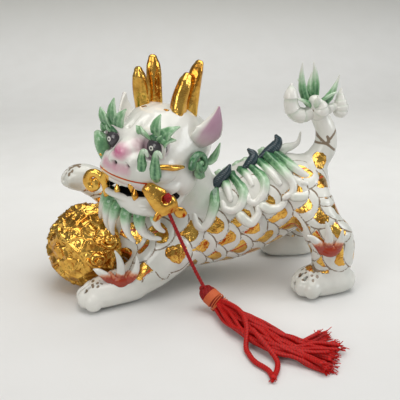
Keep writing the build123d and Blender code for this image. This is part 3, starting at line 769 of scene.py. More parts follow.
# Rows of each paw, middles of its toes and their radius
PAWS = {
    "forepaw_left": (
        [(-51, -30, 11, 11, 10), (-60, -33, 12.5, 13, 12), (-72, -36, 12, 14.5, 12),
         (-82, -38, 10, 13.5, 10.5), (-88, -39, 8.5, 10, 8)],
        [(-85, -48, 6), (-90, -43, 6.5), (-91, -36.5, 6.5), (-87.5, -30.5, 6)], 5.2),
    "hindpaw_left": (HIND_PAW, HIND_TOES, 5.2),
    "hindpaw_right": (across_body(HIND_PAW), across_body(HIND_TOES), 5.2),
    "forepaw_right": (
        [(-77, 29.5, 76, 9.5, 10.5), (-84, 31, 79, 10.5, 11.5), (-91, 31.5, 80, 10.5, 11),
         (-97, 32, 79.5, 9, 9), (-101, 32, 79, 6, 6)],
        [(-99, 25.5, 77), (-102, 30, 76), (-102, 35.5, 76), (-98.5, 39.5, 77)], 3.8),
}


def body_size(x):
    """Middle height, half width and half height of the body at x."""
    stations, *sizes = np.transpose(BODY)
    return [np.interp(x, stations, size) for size in sizes]


def skin_point(x, turn, lift=0.0):
    """Point over the body at x, turned down from the ridge in degrees, + towards the left."""
    middle, wide, high = body_size(x)
    a = math.radians(turn)
    return (x, -(wide + lift) * math.sin(a), middle + (high + lift) * math.cos(a))


def model_body():
    """The white body in one skin: torso, neck, legs, paws and tail."""
    clay = Clay((-110, -60, -4), (122, 60, 152), BODY_STEP)
    clay.roll([(x, 0, z, wide, high) for x, z, wide, high in BODY], blend=2)
    clay.roll(NECK, blend=7)
    for rows in LEGS.values():
        clay.roll(rows, blend=6)
    for rows, toes, radius in PAWS.values():
        clay.roll(rows, blend=4, length=0.7)
        for px, py, pz in toes:
            clay.lump((px + 2.5, py, pz + 2.4), (radius * 1.3, radius * 1.1, radius * 1.4), blend=1.2)
        heel = np.array(rows[2][:3])
        for a, b in zip(toes, toes[1:]):
            cleft = (np.array(a, float) + b) / 2 + (-2, 0, radius * 0.6)
            crest = cleft + (heel - cleft) * 0.22 + (0, 0, 6.5)
            inward = cleft + (heel - cleft) * 0.5 + (0, 0, 7)
            clay.roll([(*cleft, 1.3, 2.2), (*crest, 1.1, 1.8), (*inward, 0.7, 1.0)], blend=1.8, carve=True)
    clay.roll(TAIL, blend=6)
    clay.box((6, 0, -30), (130, 70, 30), blend=0.8, carve=True, corner=0.1)
    return clay.skin()


# Scales: length and width of one, and how far apart they are set along the body and the legs
SCALE_LONG, SCALE_WIDE, SCALE_SET, SCALE_ROW = 13.5, 13.5, 20.0, 13.0
# How many scales go round a leg, and the distance that leaves a point ungilded, in mm
LEG_SCALES = 6
NO_GOLD = -9.0


def scale_list():
    """Middle, direction and size of each scale, those lying on top first."""
    scales = []
    for row in range(-7, 8):
        turn = row * 24.0
        if abs(turn) < 30:
            continue
        start = -52 if row % 2 else -42
        for n in range(8):
            x = start + n * SCALE_SET + dice.normal(0, 0.5)
            lean = 8 * ease(x, 60, 100) * (1 if turn > 0 else -1)
            if x > 95 or (x < -34 and abs(turn) < 50):
                continue
            here, there = skin_point(x, turn + dice.normal(0, 1.2)), skin_point(x + 6, turn + lean)
            scales.append((x, here, unit(np.subtract(there, here)), 1.0, abs(turn) > 60 or x > 78))
    scales.sort(key=lambda s: s[0])
    tops = [s[1:] for s in scales]
    for name, first, last, grow in (("foreleg_left", 0.12, 0.92, 0.95), ("foreleg_right", 0.12, 0.92, 0.85),
                                    ("hindleg_left", 0.08, 0.97, 1.0), ("hindleg_right", 0.08, 0.97, 1.0)):
        path = smooth_path(LEGS[name], 1.0)
        ahead, side, up = frames_along(path, (0, 1, 0))
        rings = int((last - first) * len(path) / (SCALE_ROW * grow))
        for ring in range(rings + 1):
            at = int((first + (last - first) * ring / max(rings, 1)) * (len(path) - 1))
            for k in range(LEG_SCALES):
                a = (k + 0.5 * (ring % 2)) * 2 * math.pi / LEG_SCALES + 0.35
                out = side[at] * math.cos(a) * path[at, 3] + up[at] * math.sin(a) * path[at, 4]
                tops.append((path[at, :3] + out, ahead[at], grow, True))
    return tops


def lay_scales(points, normals):
    """Lift, line and gold-patch layers of the scales over the body's points."""
    count = len(points)
    lift, line, gold = np.zeros(count), np.zeros(count), np.full(count, NO_GOLD)
    red, taken = np.zeros(count), np.zeros(count, bool)
    for middle, ahead, size, gilded in scale_list():
        middle, ahead = np.array(middle), np.array(ahead)
        near = np.nonzero(np.abs(points - middle).max(1) < 22 * size)[0]
        if len(near) == 0:
            continue
        gap = points[near] - middle
        closest = normals[near[np.argmin(np.linalg.norm(gap, axis=1))]]
        side = unit(np.cross(closest, ahead))
        ahead = unit(np.cross(side, closest))
        facing = normals[near] @ closest
        along, across = gap @ ahead, gap @ side
        bulge = np.where(along > 0, SCALE_LONG, SCALE_LONG * 1.6) * size
        inside = 1 - np.sqrt((along / bulge) ** 2 + (across / (SCALE_WIDE * size)) ** 2)
        depth = inside * SCALE_WIDE * size
        fresh = ~taken[near] & (facing > 0.15)
        edge = np.clip(1 - np.abs(depth) / 1.7, 0, 1) * (along > -SCALE_LONG * 0.6 * size)
        line[near] = np.where(fresh, np.maximum(line[near], edge), line[near])
        mine = fresh & (depth > 0)
        owned = near[mine]
        rise = 0.35 + 0.75 * ease(along[mine], -8, SCALE_LONG * size)
        lift[owned] = rise * np.sqrt(ease(depth[mine], -0.4, 3.2))
        # The gilt patch at the scale's root, a lopsided heart
        grow = size * dice.uniform(0.78, 1.12)
        bend, skew = dice.uniform(0, 2 * math.pi), dice.uniform(-1.5, 1.5)
        px, py = along[mine] - 0.4 * size, across[mine] - skew
        angle = np.arctan2(py, px)
        rim = gilded * grow * (8.2 + 0.8 * np.cos(2 * angle + 0.4) + 0.9 * np.cos(3 * angle + bend))
        gold[owned] = rim - np.hypot(px, py)
        if dice.random() < 0.45 * gilded:
            stroke = ease(np.abs(py - 2.6 * math.sin(bend) - 0.25 * px), 1.5, 0.6)
            red[owned] = stroke * ease(np.hypot(px, py), rim + 0.6, rim - 1.0) * 0.75
        taken[owned] = True
    line[taken & (gold > 0.5)] *= 0.3
    return lift * 0.95, line, gold, red


points, faces, normals = model_body()
lift, line_layer, gold, red = lay_scales(points, normals)
plain = (ease(points[:, 2], 17, 24) * ease(points[:, 0], -92, -84)
         * (1 - ease(points[:, 2], 70, 80) * (points[:, 0] < 12)))
hidden = np.maximum(reach(points, [(-60, -8, 118), (0, -8, 84)]) < 27, points[:, 2] > 112)
hidden |= (points[:, 2] > 93) & (points[:, 0] > 86)
lift *= plain * ~hidden
line_layer *= (plain > 0.5) * ~hidden
gold = np.where((plain > 0.5) & ~hidden, gold, NO_GOLD)
red *= plain > 0.5

# Fine dark dabs on the toes and brown lines up the tail
dots = np.zeros(len(points))
for rows, toes, _ in PAWS.values():
    heel = np.array(rows[1][:3], float)
    for toe in toes:
        for step in (0.1, 0.26, 0.42, 0.58):
            for sway in (-1.6, 1.8):
                spot = np.array(toe) + (heel - toe) * (step + dice.uniform(-0.04, 0.04))
                spot = spot + (dice.normal(0, 0.5), sway, 0)
                flat = np.hypot(points[:, 0] - spot[0], points[:, 1] - spot[1])
                top = np.abs(points[:, 2] - toe[2] - 9) < 7
                dots = np.maximum(dots, np.clip(1.7 - flat / 1.35, 0, 1) * top * (dice.random() < 0.85))
# x and z along each brown line on the tail
TAIL_LINES = [[(91, 124), (96, 116), (101, 110.8), (109.5, 120.5)], [(102, 116.5), (103.5, 112)],
              [(88, 110), (95, 111), (101.5, 111), (108.5, 105.5)], [(82, 130), (88, 136.5), (94, 137.5)]]
on_tail = (points[:, 2] > 96) * (points[:, 0] > 80)
for path in TAIL_LINES:
    off_path = reach(points * (1, 0, 1), [(px, 0, pz) for px, pz in path])
    line_layer = np.maximum(line_layer, np.clip(1.3 - off_path / 1.7, 0, 1) * on_tail)
oval = np.hypot((points[:, 0] - 96.5) / 5.6, (points[:, 2] - 98.4) / 6.2)
gold = np.maximum(gold, 6 * (1 - oval))
green = 0.25 * ease(reach(points, [(-8, -24, 84), (2, -24, 76)]), 16, 4)
body_skin = Skin()
body_skin.add(points + normals * lift[:, None], faces, line=np.maximum(line_layer, dots * 0.9),
              gold=gold_layer(gold), red=red, green=green)
body_skin.make("body_skin", painted_glaze, ["torso", "neck", "tail", *LEGS, *PAWS])

# ---------------------------------------------------------------- head, in head sizes

# x, y, z, half width and half thickness along each, and x, y, z along the lips
SKULL = [(-25, 0, -1, 10, 9), (-23, 0, -1, 17, 15), (-12, 0, -2, 28, 24), (3, 0, -2, 32, 27),
         (18, 0, -4, 31, 24), (30, 0, -7, 29, 18), (38, 0, -10, 27, 13), (43, 0, -12, 24, 9)]
JAW = [(4, 0, -32, 22, 11), (16, 0, -37, 26, 10.5), (27, -1, -39, 27, 9.5), (34, -2, -40, 25, 8),
       (39, -3, -40, 20, 6)]
UPPER_LIP = [(24, 28.5, -24), (31, 26.5, -23.5), (37, 22, -22.5), (41.5, 14, -21.5), (44, 4, -20),
             (44.5, -8, -18.5), (43.5, -18, -17), (41, -26, -16), (33, -29.5, -16.5), (24, -30, -19)]
LOWER_LIP = [(26, 28, -25.5), (32, 25, -29), (37.5, 19, -32), (41, 11, -33.5), (42.5, 0, -34),
             (42.5, -12, -34), (41, -22, -33.5), (36, -28, -32), (28, -30, -28), (23, -29.5, -22)]
NECK_UNDER_HEAD = [(-4, 0.5, -8, 24, 26), (-6.4, 0.6, -16, 22, 23), (-9, 0.5, -24, 22, 22.5),
                   (-12, 0.5, -31, 21.5, 22)]
EYE_SIDE, EYE_AHEAD, EYE_HIGH, EYE_RADIUS = 19.5, 32.5, 4.8, 7.7
SIDES = (("left", 1), ("right", -1))


def model_head():
    """Skull, brows, snout, lips and jaw in one skin, with the mouth carved open."""
    clay = Clay((-34, -38, -56), (58, 38, 34), HEAD_STEP)
    clay.roll(SKULL, blend=1)
    clay.lump((8, 0, 8), (24, 25, 18.5), blend=7)
    for side in (1, -1):
        clay.lump((4, 14 * side, 13), (15, 10.5, 13), blend=6)
    clay.lump((24, 0, 8), (13, 19, 11), blend=6)
    clay.roll([(27, 0, 12, 8, 6), (35, 0, 6, 7, 6), (42, 0, 0, 8, 6)], blend=6)
    clay.lump((38, 0, -12), (11, 22, 8), blend=5)
    for side in (1, -1):
        clay.roll([(34, 5 * side, 9, 3, 3), (35, 12 * side, 13, 3.2, 3), (33.5, 21 * side, 14.5, 3.2, 3),
                   (29, 29 * side, 11, 2.6, 2.6)], blend=5)
        clay.roll([(36, 3.2 * side, 9, 1.3, 1.3), (31, 4.4 * side, 18, 1.0, 1.0),
                   (25, 5 * side, 24, 0.6, 0.6)], blend=4, carve=True)
        clay.lump((EYE_AHEAD + 4, EYE_SIDE * side, EYE_HIGH), (9.5, 8.4, 8.2), blend=2.5, carve=True)
        clay.lump((EYE_AHEAD - 1, EYE_SIDE * side, EYE_HIGH), (7.6, 7.6, 7.6), blend=1.0)
        lid = [(EYE_AHEAD + 2.5, (EYE_SIDE + 8.0 * math.cos(a)) * side, EYE_HIGH + 7.6 * math.sin(a),
                1.4, 1.4) for a in np.linspace(0, 2 * math.pi, 13)]
        clay.roll(lid, (1, 0, 0), blend=1.6)
        clay.lump((31, 25 * side, -13), (10, 7, 7), blend=5)
        clay.lump((12, 25 * side, -22), (13, 8, 12), blend=6)
    clay.roll(JAW, blend=4)
    clay.roll(NECK_UNDER_HEAD, blend=7)
    clay.box((42, 0, -27), (16.5, 42, 5.0), blend=2.0, carve=True, corner=3, tilt=0.1)
    clay.lump((27, 0, -27), (19, 25.5, 8.5), blend=2, carve=True)
    clay.roll([(16, 0, -31, 19, 8), (27, -1, -34, 21, 8), (35, -2, -36, 17, 6)], blend=2, carve=True)
    # The wall at the right corner of the mouth, and the gum over the upper fangs
    clay.roll([(37, -26.5, -25, 7, 1.5), (31, -28.5, -25, 8, 1.6), (23, -28.5, -25, 8, 1.6)], (0, 0, 1),
              blend=1.5)
    clay.roll([(40, -21, -22, 3, 3.4), (41.5, -10, -22.6, 3, 3.4), (41.5, 4, -23, 3, 3.4),
               (38, 15, -24.4, 3, 3.4)], (1, 0, 0), blend=1.5)
    clay.roll([(*p, 2.8, 2.5) for p in UPPER_LIP], (0, 0, 1), blend=3)
    clay.roll([(*p, 2.6, 2.4) for p in LOWER_LIP], (0, 0, 1), blend=3)
    # Nose over the lip: bridge tip and two wings with open nostrils
    clay.lump((44, 1.5, 1.5), (9, 8.5, 7.5), blend=4)
    for side in (1, -1):
        clay.lump((45.5, 1.5 + 8.2 * side, -3.8), (7.0, 5.6, 5.2), blend=2.2)
        clay.lump((52.5, 1.5 + 6.2 * side, -6.4), (4.4, 2.3, 2.2), blend=1.0, carve=True)
    return clay.skin()


head_points, faces, _ = model_head()
x, y, z = head_points.T


def around_spot(middle, sizes=(1, 1, 1)):
    """Distance of the head's points from a spot, in the given sizes."""
    return np.linalg.norm((head_points - middle) / sizes, axis=1)


pink = np.maximum(1.1 * ease(around_spot((48, 0.5, 2.0), (1, 1.1, 0.8)), 10, 3.0),
                  0.35 * ease(around_spot((40, 9, 5)), 9, 3))
for strength, path, width in ((1.0, [(46, -16, -9.5), (48.5, -4, -10.5), (47.5, 6, -10.5)], 6.2),
                              (0.42, [(43, -26, -18), (46, -8, -20), (44, 12, -22.5)], 3.0)):
    pink = np.maximum(pink, strength * np.clip(1 - reach(head_points, path) / width, 0, 1))
# Plum-coloured painted shade in the sockets round the eyes
plum = np.zeros(len(x))
for side in (1, -1):
    off_eye = around_spot((EYE_AHEAD + 3, EYE_SIDE * side, EYE_HIGH))
    plum = np.maximum(plum, 0.5 * ease(off_eye, 13, 7.5) * (np.abs(y) < 27))
off_line = np.abs(z + 17.3 + 0.105 * y)
red = 1.4 * np.clip(1 - off_line / 1.5, 0, 1) * (x > 35) * ease(np.abs(y + 4), 24, 21)
# Near-black painted shade inside the mouth and in the nostrils
mouth = (x > 8) & (z < -17 + 0.1 * np.abs(y)) & (z > -43.5)
within = ease(x + 0.28 * np.abs(y), 45.2, 42.8) * ease(y, 27.5, 25.5) * ease(y, -29.6, -28)
dark = ease(around_spot((25, -1, -30.0), (21, 29, 12.5)), 1.1, 0.98) * within * mouth * 1.2
for side in (1, -1):
    off_nostril = around_spot((52, 1.5 + 6.2 * side, -6.4), (5.0, 2.3, 2.3))
    dark = np.maximum(dark, 0.72 * ease(off_nostril, 1.05, 0.7))
freckles = np.full(len(x), NO_GOLD)
for side, ahead in ((1, 12), (-1, 13)):
    spot = np.array((ahead + dice.normal(0, 1), (9 + dice.normal(0, 2)) * side, 24))
    freckles = np.maximum(freckles, 1.2 - np.hypot(x - spot[0], (y - spot[1]) / 1.8) - 3 * (z < 18))
head_skin = Skin()
head_skin.add(from_head(head_points), faces, pink=pink, plum=plum, red=red, dark=dark,
              gold=gold_layer(freckles))
head_skin.make("head_skin", painted_glaze, ["head", "lower_jaw", "nose"])

for name, side in SIDES:
    clay = Clay((22, -30, -6), (42, 30, 15), FINE_STEP)
    clay.lump((EYE_AHEAD, EYE_SIDE * side, EYE_HIGH), (EYE_RADIUS,) * 3, blend=0.5)
    eye_points, faces, _ = clay.skin()
    pupil = np.array((EYE_AHEAD + EYE_RADIUS, (EYE_SIDE + 0.5) * side, EYE_HIGH + 0.8))
    ring = np.clip(1.15 - np.abs(np.linalg.norm(eye_points - pupil, axis=1) - 1.35) / 0.75, 0, 1)
    eye = Skin()
    eye.add(from_head(eye_points), faces, ring=ring)
    eye.make("eyeball_" + name, eye_glaze, ["eye_" + name])

# ---------------------------------------------------------------- leaves, curls and horns


def pressed(count, depth):
    """Relief of a coil with that many lines pressed along it."""
    return lambda turn, along: 1 - depth * (0.5 + 0.5 * np.cos(count * turn))


def leaf(skin, root, bend, tip, wide, thick, across, cup, head=False, green=(1.0, 0.25)):
    """Pointed leaf with a cupped face and a vein, greener at its root and paler at its rim."""
    part = np.linspace(0, 1, 9)
    girth = np.interp(part, (0, 0.25, 0.5, 0.75, 1), (0.55, 0.92, 1.0, 0.66, 0.12))
    rows = np.column_stack([arc(root, bend, tip, 9), wide * girth, thick * (0.35 + 0.65 * girth)])

    def paint(points, along, turn):
        shade = green[0] + (green[1] - green[0]) * ease(along, 0.3, 1.0)
        rim = np.abs(np.cos(turn)) ** 3
        return shade * (1 - 0.45 * rim) * (0.86 + 0.14 * np.cos(6 * turn))

    skin.sweep(rows, 0.7, across, 20, cup, pressed(6, 0.07), head, green=paint)


def curl(skin, rows, thick, thin, across=None, head=False, green=(1.0, 0.0), fade=(0.1, 0.55), flat=1.0,
         grooved=0.06):
    """Rolled clay coil with pressed lines along it and a round thin tip."""
    path = smooth_path(rows, 0.9)
    part = np.linspace(0, 1, len(path))
    girth = thick + (thin - thick) * ease(part, 0.1, 1.0)
    girth[-4:] *= (1.0, 0.97, 0.9, 0.78)
    rows = np.column_stack([path[:, :3], girth * (1 + (flat - 1) * (1 - part)), girth])

    def paint(points, along, turn):
        shade = green[0] + (green[1] - green[0]) * ease(along, *fade)
        return shade + 0.25 * green[0] * (np.cos(5 * turn) > 0.3) * ease(along, fade[1], fade[0])

    skin.sweep(rows, None, across, 18, 0, lambda turn, along: 1 - grooved * (1 - along) * (
        0.5 + 0.5 * np.cos(5 * turn)), head, green=paint)


# Each coil of the mane: x and the turn down from the ridge in degrees, along it
MANE = [
    [(13, 12), (12, 30), (11, 47), (6, 64), (1, 71), (-3, 65), (-5, 50)],
    [(21, 12), (22, 32), (23, 49)],
    [(28, 10), (33, 42), (32, 57), (26, 64), (19, 58), (17, 47)],
    [(35, 9), (38, 28), (40, 43)],
    [(42, 10), (49, 44), (48, 60), (42, 67), (37, 61), (36, 52)],
    [(30, 74), (33, 81), (38, 88), (43, 82), (43, 73)],
    [(49, 10), (55, 40), (60, 58)],
    [(56, 10), (65, 45), (70, 61), (69, 73), (63, 77)],
    [(47, 76), (52, 84), (59, 88), (64, 83)],
    [(71, 79), (77, 82), (82, 76), (82, 68), (78, 63)],
    [(63, 10), (71, 34), (80, 51), (87, 60)],
]
for name, side in SIDES:
    mane = Skin()
    for n, trace in enumerate(MANE):
        start, deep = (0, 1.0) if side > 0 else (11, 0.4)
        root_green = deep * (0.04 if trace[0][1] > 60 else 0.85)
        rows = [skin_point(px, (max(turn, start + 10) if turn < 25 else turn) * side, 1.6 + 0.8 * (n % 2))
                for px, turn in trace]
        curl(mane, rows, 4.3 if len(trace) > 3 else 3.8, 2.6, green=(root_green, 0.0), fade=(0.1, 0.66),
             flat=1.25, grooved=0.2)
    mane.make("mane_coils_" + name, green_enamel, ["mane_curls_" + name])

wisp = Skin()
curl(wisp, [(67, 2, 104), (72, 3, 106.3), (77, 4, 107.2), (82, 5, 110), (83.7, 5, 117.7)], 3.9, 0.9,
     green=(0.06, 0.0))
wisp.make("mane_wisp_coil", green_enamel, ["mane_wisp"])

# x, y, z along each dark spine, and half width and half thickness along any
SPINES = [[(9, -13, 79.5), (14, -11.5, 83.5), (19, -10, 88), (23, -9, 92.5), (25.2, -8, 97)],
          [(34.8, -8, 93), (40, -7, 96), (43.5, -6, 99.8), (44, -4, 104), (40.7, -3, 107.6)],
          [(48.5, -5, 101), (55.5, -4, 104.8), (61.5, -3, 109), (63.8, -2.5, 113.6), (62.3, -2, 117.6)]]
SPINE_GIRTHS = ((1.5, 1.6), (3.5, 4.2), (4.0, 4.6), (3.2, 3.6), (1.3, 1.4))
spines = Skin()
for places in SPINES:
    spines.sweep(np.hstack([places, SPINE_GIRTHS]), 0.8, (0, 1, 0), 20,
                 relief=lambda turn, along: 1 + 0.03 * np.cos(5 * turn))
spines.make("back_spine_blades", dark_enamel(), ["back_spines"])

# Root, bend and tip of each beard curl
BEARD = [((36, -28, -39), (39, -33, -50), (35, -38, -60)), ((40, -22, -42), (45, -25, -54), (39, -25, -65)),
         ((41, -14, -44), (47, -17, -57), (40, -20, -67)), ((42, -4, -46), (47, -3, -58), (41, 2, -67)),
         ((39, 6, -47), (42, 7, -63), (33, 20, -63)), ((32, 15, -46), (36, 18, -54), (30, 21, -58))]
beard = Skin()
for root, bend, tip in BEARD:
    start = np.array(root, float) + (-3, 0, 2)
    rows = np.vstack([[start], arc(root, bend, tip, 6)])
    curl(beard, rows, 4.3, 1.7, (0, 1, 0), True, (0.62, 0.0), flat=1.2, grooved=0.13)
beard.make("beard_coils", green_enamel, ["beard_curls"])

# y at the middle of each brow, and the tips of its leaves
BROWS = {"left": (20, [(37, 4.5, 18), (34, 24, 28), (30, 37, 21), (32, 35, 12)]),
         "right": (-19, [(36, -31, 26), (35, -18, 34), (36, -6, 28), (33, -31, 15)])}
for name, (middle, tips) in BROWS.items():
    brow = Skin()
    for px, py, pz in tips:
        bow = (40, middle + (py - middle) * 0.5, 11 + (pz - 10) * 0.5)
        leaf(brow, (32, middle + (py - middle) * 0.25, 8.5), bow, (px, py, pz), 5.0, 2.0, (0, 1, -0.3),
             -0.22, True, (1.0, 0.6))
    clay = Clay((24, middle - 12, 0), (42, middle + 12, 20), BROW_STEP)
    clay.roll([(33, middle - 8, 11, 2.6, 2.2), (35.5, middle, 12.5, 3.2, 2.6),
               (33, middle + 8, 11, 2.6, 2.2)], (0, 0, 1), blend=1)
    knob_points, faces, _ = clay.skin()
    brow.add(from_head(knob_points), faces, green=0.95)
    brow.make("brow_leaves_" + name, green_enamel, ["brow_tuft_" + name])

cheek = Skin()
for px, py, foot, top in ((45.0, 15.5, -12.5, 4.8), (42.0, 25, -15, 4.5)):
    tall = top - foot
    rows = [(px - 1, py, foot, 3.2, 2.6), (px, py, foot + 0.14 * tall, 5.0, 3.6),
            (px + 0.6, py + 0.6, foot + 0.42 * tall, 4.4, 3.2),
            (px + 1.4, py + 1.6, foot + 0.75 * tall, 2.9, 2.3), (px + 1.6, py + 3.0, top - 0.4, 2.1, 1.8),
            (px + 1.4, py + 5.2, top + 0.2, 1.6, 1.5), (px + 0.8, py + 6.4, top - 2.6, 1.2, 1.2)]
    cheek.sweep(rows, 0.7, (0, 1, 0), 18, 0, pressed(6, 0.06), True, green=lambda points, along, turn: (
        (0.95 - 0.75 * ease(along, 0.5, 0.95)) * (0.8 + 0.2 * np.cos(6 * turn))))
cheek.make("cheek_curls_left", green_enamel, ["cheek_tuft_left"])
cheek = Skin()
rows = [(38, -24.5, -15, 2.4, 2.4), (39.5, -25, -8, 4.4, 3.0), (41, -25.5, -1, 5.6, 2.6),
        (41, -27, 5, 5.4, 2.2), (39.5, -31, 8.5, 3.6, 1.8), (37.5, -35.5, 7, 1.3, 1.2)]
cheek.sweep(rows, 0.7, (1, -1, 0), 22, -0.25, pressed(6, 0.08), True, green=lambda points, along, turn: (
    (0.75 - 0.4 * ease(along, 0.5, 1)) * (1 - 0.5 * np.abs(np.cos(turn)) ** 3)))
cheek.make("cheek_leaf_right", green_enamel, ["cheek_tuft_right"])

# Root, bend and tip of the tall and the short prong of each horn
HORNS = {
    "left": [((-6, 16, 21), (-7, 17, 41), (-13, 20, 55.5)), ((7, 16, 22), (5, 16, 36), (-1.5, 18, 48))],
    "right": [((-5, -16, 22), (-6, -17, 41), (-6, -18, 57)), ((8, -16, 22), (9, -16, 38), (11, -16.5, 50.5))],
}
for name, prongs in HORNS.items():
    horn = Skin()
    for prong in prongs:
        girth = np.interp(np.linspace(0, 1, 9), (0, 0.3, 0.7, 0.92, 1), (6.0, 5.8, 5.5, 4.7, 3.4))
        bias = dice.uniform(0, 6, 3)
        horn.sweep(np.column_stack([arc(*prong, 9), girth, girth * 0.92]), 0.9, (0, 1, 0), 28, head=True,
                   relief=lambda turn, along: (1 + 0.07 * np.sin(3 * turn + bias[0] + 2 * along)
                                               + 0.045 * np.sin(5 * turn + bias[1] - 4 * along)
                                               + 0.03 * np.sin(7 * along + 2 * turn + bias[2])))
    horn.make("gilt_horn_" + name, gilt_smooth, ["horn_" + name])

# Root, bend and tip of each ear, and the way it is wide
EARS = {"left": (((1, 26, -1), (0, 44, 6), (-8, 41, 28)), (-0.88, 0.47, 0)),
        "right": (((1, -26, -1), (2, -46, 6), (-4, -46, 28)), (-0.95, -0.1, 0))}


def ear_hollow(side, along, turn):
    """1 inside the ear's shell and 0 at its rim, root and back."""
    within = ease(np.sin(turn) * -side, 0.15, 0.6) * ease(np.abs(np.cos(turn)), 0.93, 0.6)
    return within * ease(along, 0.06, 0.3)


for name, side in SIDES:
    line, facing = EARS[name]
    girth = np.interp(np.linspace(0, 1, 9), (0, 0.25, 0.5, 0.75, 1), (0.6, 1.0, 0.98, 0.62, 0.1))
    ear = Skin()
    # The ear's hollow is painted a little pink, with plum-coloured painted shade that grows stronger away
    # from its root
    ear.sweep(np.column_stack([arc(*line, 9), 11.5 * girth, 1.6 + 1.2 * girth]), 0.8, facing, 28,
              0.34 * side, head=True, pink=lambda points, along, turn: 0.2 * ear_hollow(side, along, turn),
              plum=lambda points, along, turn: (
                  ear_hollow(side, along, turn) * (0.25 + 0.4 * ease(along, 0.1, 0.6))))
    ear.make("ear_shell_" + name, painted_glaze, ["ear_" + name])

    rosette = Skin()
    for start, radius, lift, girth in ((0.0, 8.0, 0.0, 2.5), (2.4, 5.6, 1.2, 2.4), (4.4, 3.2, 2.4, 2.3)):
        loop = [(7 + (radius - 0.25 * k) * math.cos(start + 0.62 * k), (35 + lift) * side,
                 -11 + (radius - 0.25 * k) * math.sin(start + 0.62 * k)) for k in range(8)]
        curl(rosette, loop, girth + 0.4, girth * 0.8, (0, 1, 0), True, (0.86, 0.66), (0.2, 1), grooved=0.14)
    leaf(rosette, (0, 35 * side, -12), (-8, 37 * side, -12), (-10, 41 * side, 2), 3.6, 1.8, (0, 1, 0), 0.2,
         True, (0.9, 0.7))
    leaf(rosette, (9, 35 * side, -13), (7, 37 * side, -19), (2, 36 * side, -21), 4.6, 2.4, (1, 0, -0.3), 0.2,
         True, (1.0, 0.8))
    rosette.make("ear_rosette_" + name, green_enamel, ["ear_curl_" + name])

    whisker = Skin()
    whisker.sweep([(42, 26 * side, -6, 1.6, 2.0), (36, 30 * side, -7, 2, 2.4),
                   (29, 32 * side, -8.5, 2.2, 2.6), (22, 33 * side, -9.5, 1.2, 1.6)],
                  0.7, (0, 0, 1), 16, head=True,
                  relief=lambda turn, along: 1 + 0.06 * np.sin(9 * along + turn))
    whisker.make("gilt_whisker_" + name, gilt_smooth, ["whisker_" + name])

for name, places, down in (("upper", [(44.5, 4.5, -21.5), (42.5, -20, -18.5)], -1),
                           ("lower", [(43.0, 6.5, -31.5), (41.5, -12, -31.5)], 1)):
    fangs = Skin()
    for px, py, pz in places:
        fangs.sweep([(px, py, pz + down * run, radius, radius * 0.85) for run, radius in
                     ((-1, 2.2), (1, 2.8), (3, 2.3), (4.6, 1.4), (6, 0.6))], 0.6, (0, 1, 0), 14, head=True,
                    relief=lambda turn, along: 1 + 0.07 * np.cos(4 * turn))
    fangs.make(name + "_gilt_fangs", gilt_smooth, [name + "_fangs"])

# ---------------------------------------------------------------- flames and tail tuft


# Middle of each flame's palm, the tips of its three curls, and the side that it is on
FLAMES = {
    "fore_flame_left": ((-62.5, -43.5, 22), [(-81, -44, 33.5), (-65, -44, 47), (-49.5, -42, 41)], -1),
    "fore_flame_right": ((-60, 34, 58), [(-74, 40, 66), (-62, 42, 76), (-50, 38, 72)], 1),
    "hind_flame_left": ((95, -51.5, 41), [(76, -52, 54), (89, -54, 65), (102, -53.5, 58)], -1),
    "hind_flame_right": ((87, 48, 41), [(70, 49, 52), (83, 52, 64), (96, 50, 57)], 1),
}
for name, ((px, py, pz), tips, out) in FLAMES.items():
    flame = Skin()
    for tip, swing, push, climb in zip(tips, (0.75, 1.6, 1.15), (0, 8, 0), (0.95, 0.55, 0.3)):
        root = (px + (tip[0] - px) * 0.28, py - 2 * out, pz - 1)
        bow = (px + (tip[0] - px) * swing + push, py + 2.5 * out, pz + (tip[2] - pz) * climb)
        girth = np.interp(np.linspace(0, 1, 8), (0, 0.3, 0.7, 1), (3.8, 3.5, 2.3, 0.7))
        flame.sweep(np.column_stack([arc(root, bow, tip, 8), girth, girth * 0.8]), 0.8, (1, 0, 0), 16,
                    relief=lambda turn, along: 1 - 0.05 * np.cos(3 * turn),
                    red=lambda points, along, turn: 0.95 * ease(points[:, 2], pz + 11, pz + 3))
    half = 7.2 if name.startswith("fore") else 8.4
    palm = [(px + half * part, py - back * out, pz + rise, wide, high) for part, back, rise, wide, high in
            ((-1, 2.2, 6, 2.2, 1.8), (-0.6, 0.8, 1, 4.2, 2.8), (0, 0, -0.5, 5.0, 3.4),
             (0.6, 0.8, 1, 4.2, 2.8), (1, 2.2, 6, 2.2, 1.8))]
    flame.sweep(palm, 0.9, (0, 0, 1), 18,
                red=lambda points, along, turn: 0.5 + 0.6 * ease(points[:, 2], pz + 9, pz - 2))
    flame.make(name + "_curls", flame_glaze, [name])

# Root, bend and tip of each tail leaf, its half width and its greens; then the drooping ones
LEAVES = [((90, 3, 137), (80, 3, 150), (82, 3, 172), 3.5, (1.0, 0.02)),
          ((93, 5, 137), (95, 5, 155), (91, 4, 172), 3.5, (1.0, 0.02)),
          ((95, 4, 138), (106, 4, 141), (112, 4, 162), 3.5, (1.0, 0.02)),
          ((92, 6, 137), (92, 18, 148), (95, 20, 162), 3.5, (1.0, 0.02)),
          ((93, -1, 138), (92, -9, 142), (92, -8, 149), 3.0, (0.3, 0.0))]
DROOPING = [((93, 0, 139), (100, -2, 147), (109, -1, 150), 3.4),
            ((90, 0, 139), (86, -3, 144), (78, -4, 146), 3.4),
            ((92, 6, 140), (88, 10, 150), (82, 13, 158), 3.6)]
tuft = Skin()
for root, bow, tip, wide, greens in LEAVES:
    leaf(tuft, root, bow, tip, wide, 2.0, (1, -0.3, 0), 0.35, green=greens)
for root, bow, tip, wide in DROOPING:
    leaf(tuft, root, bow, tip, wide, 1.8, (0.3, 1, 0), 0.2, green=(1.1, 0.25))
tuft.make("tail_leaves", green_enamel, ["tail_tuft"])

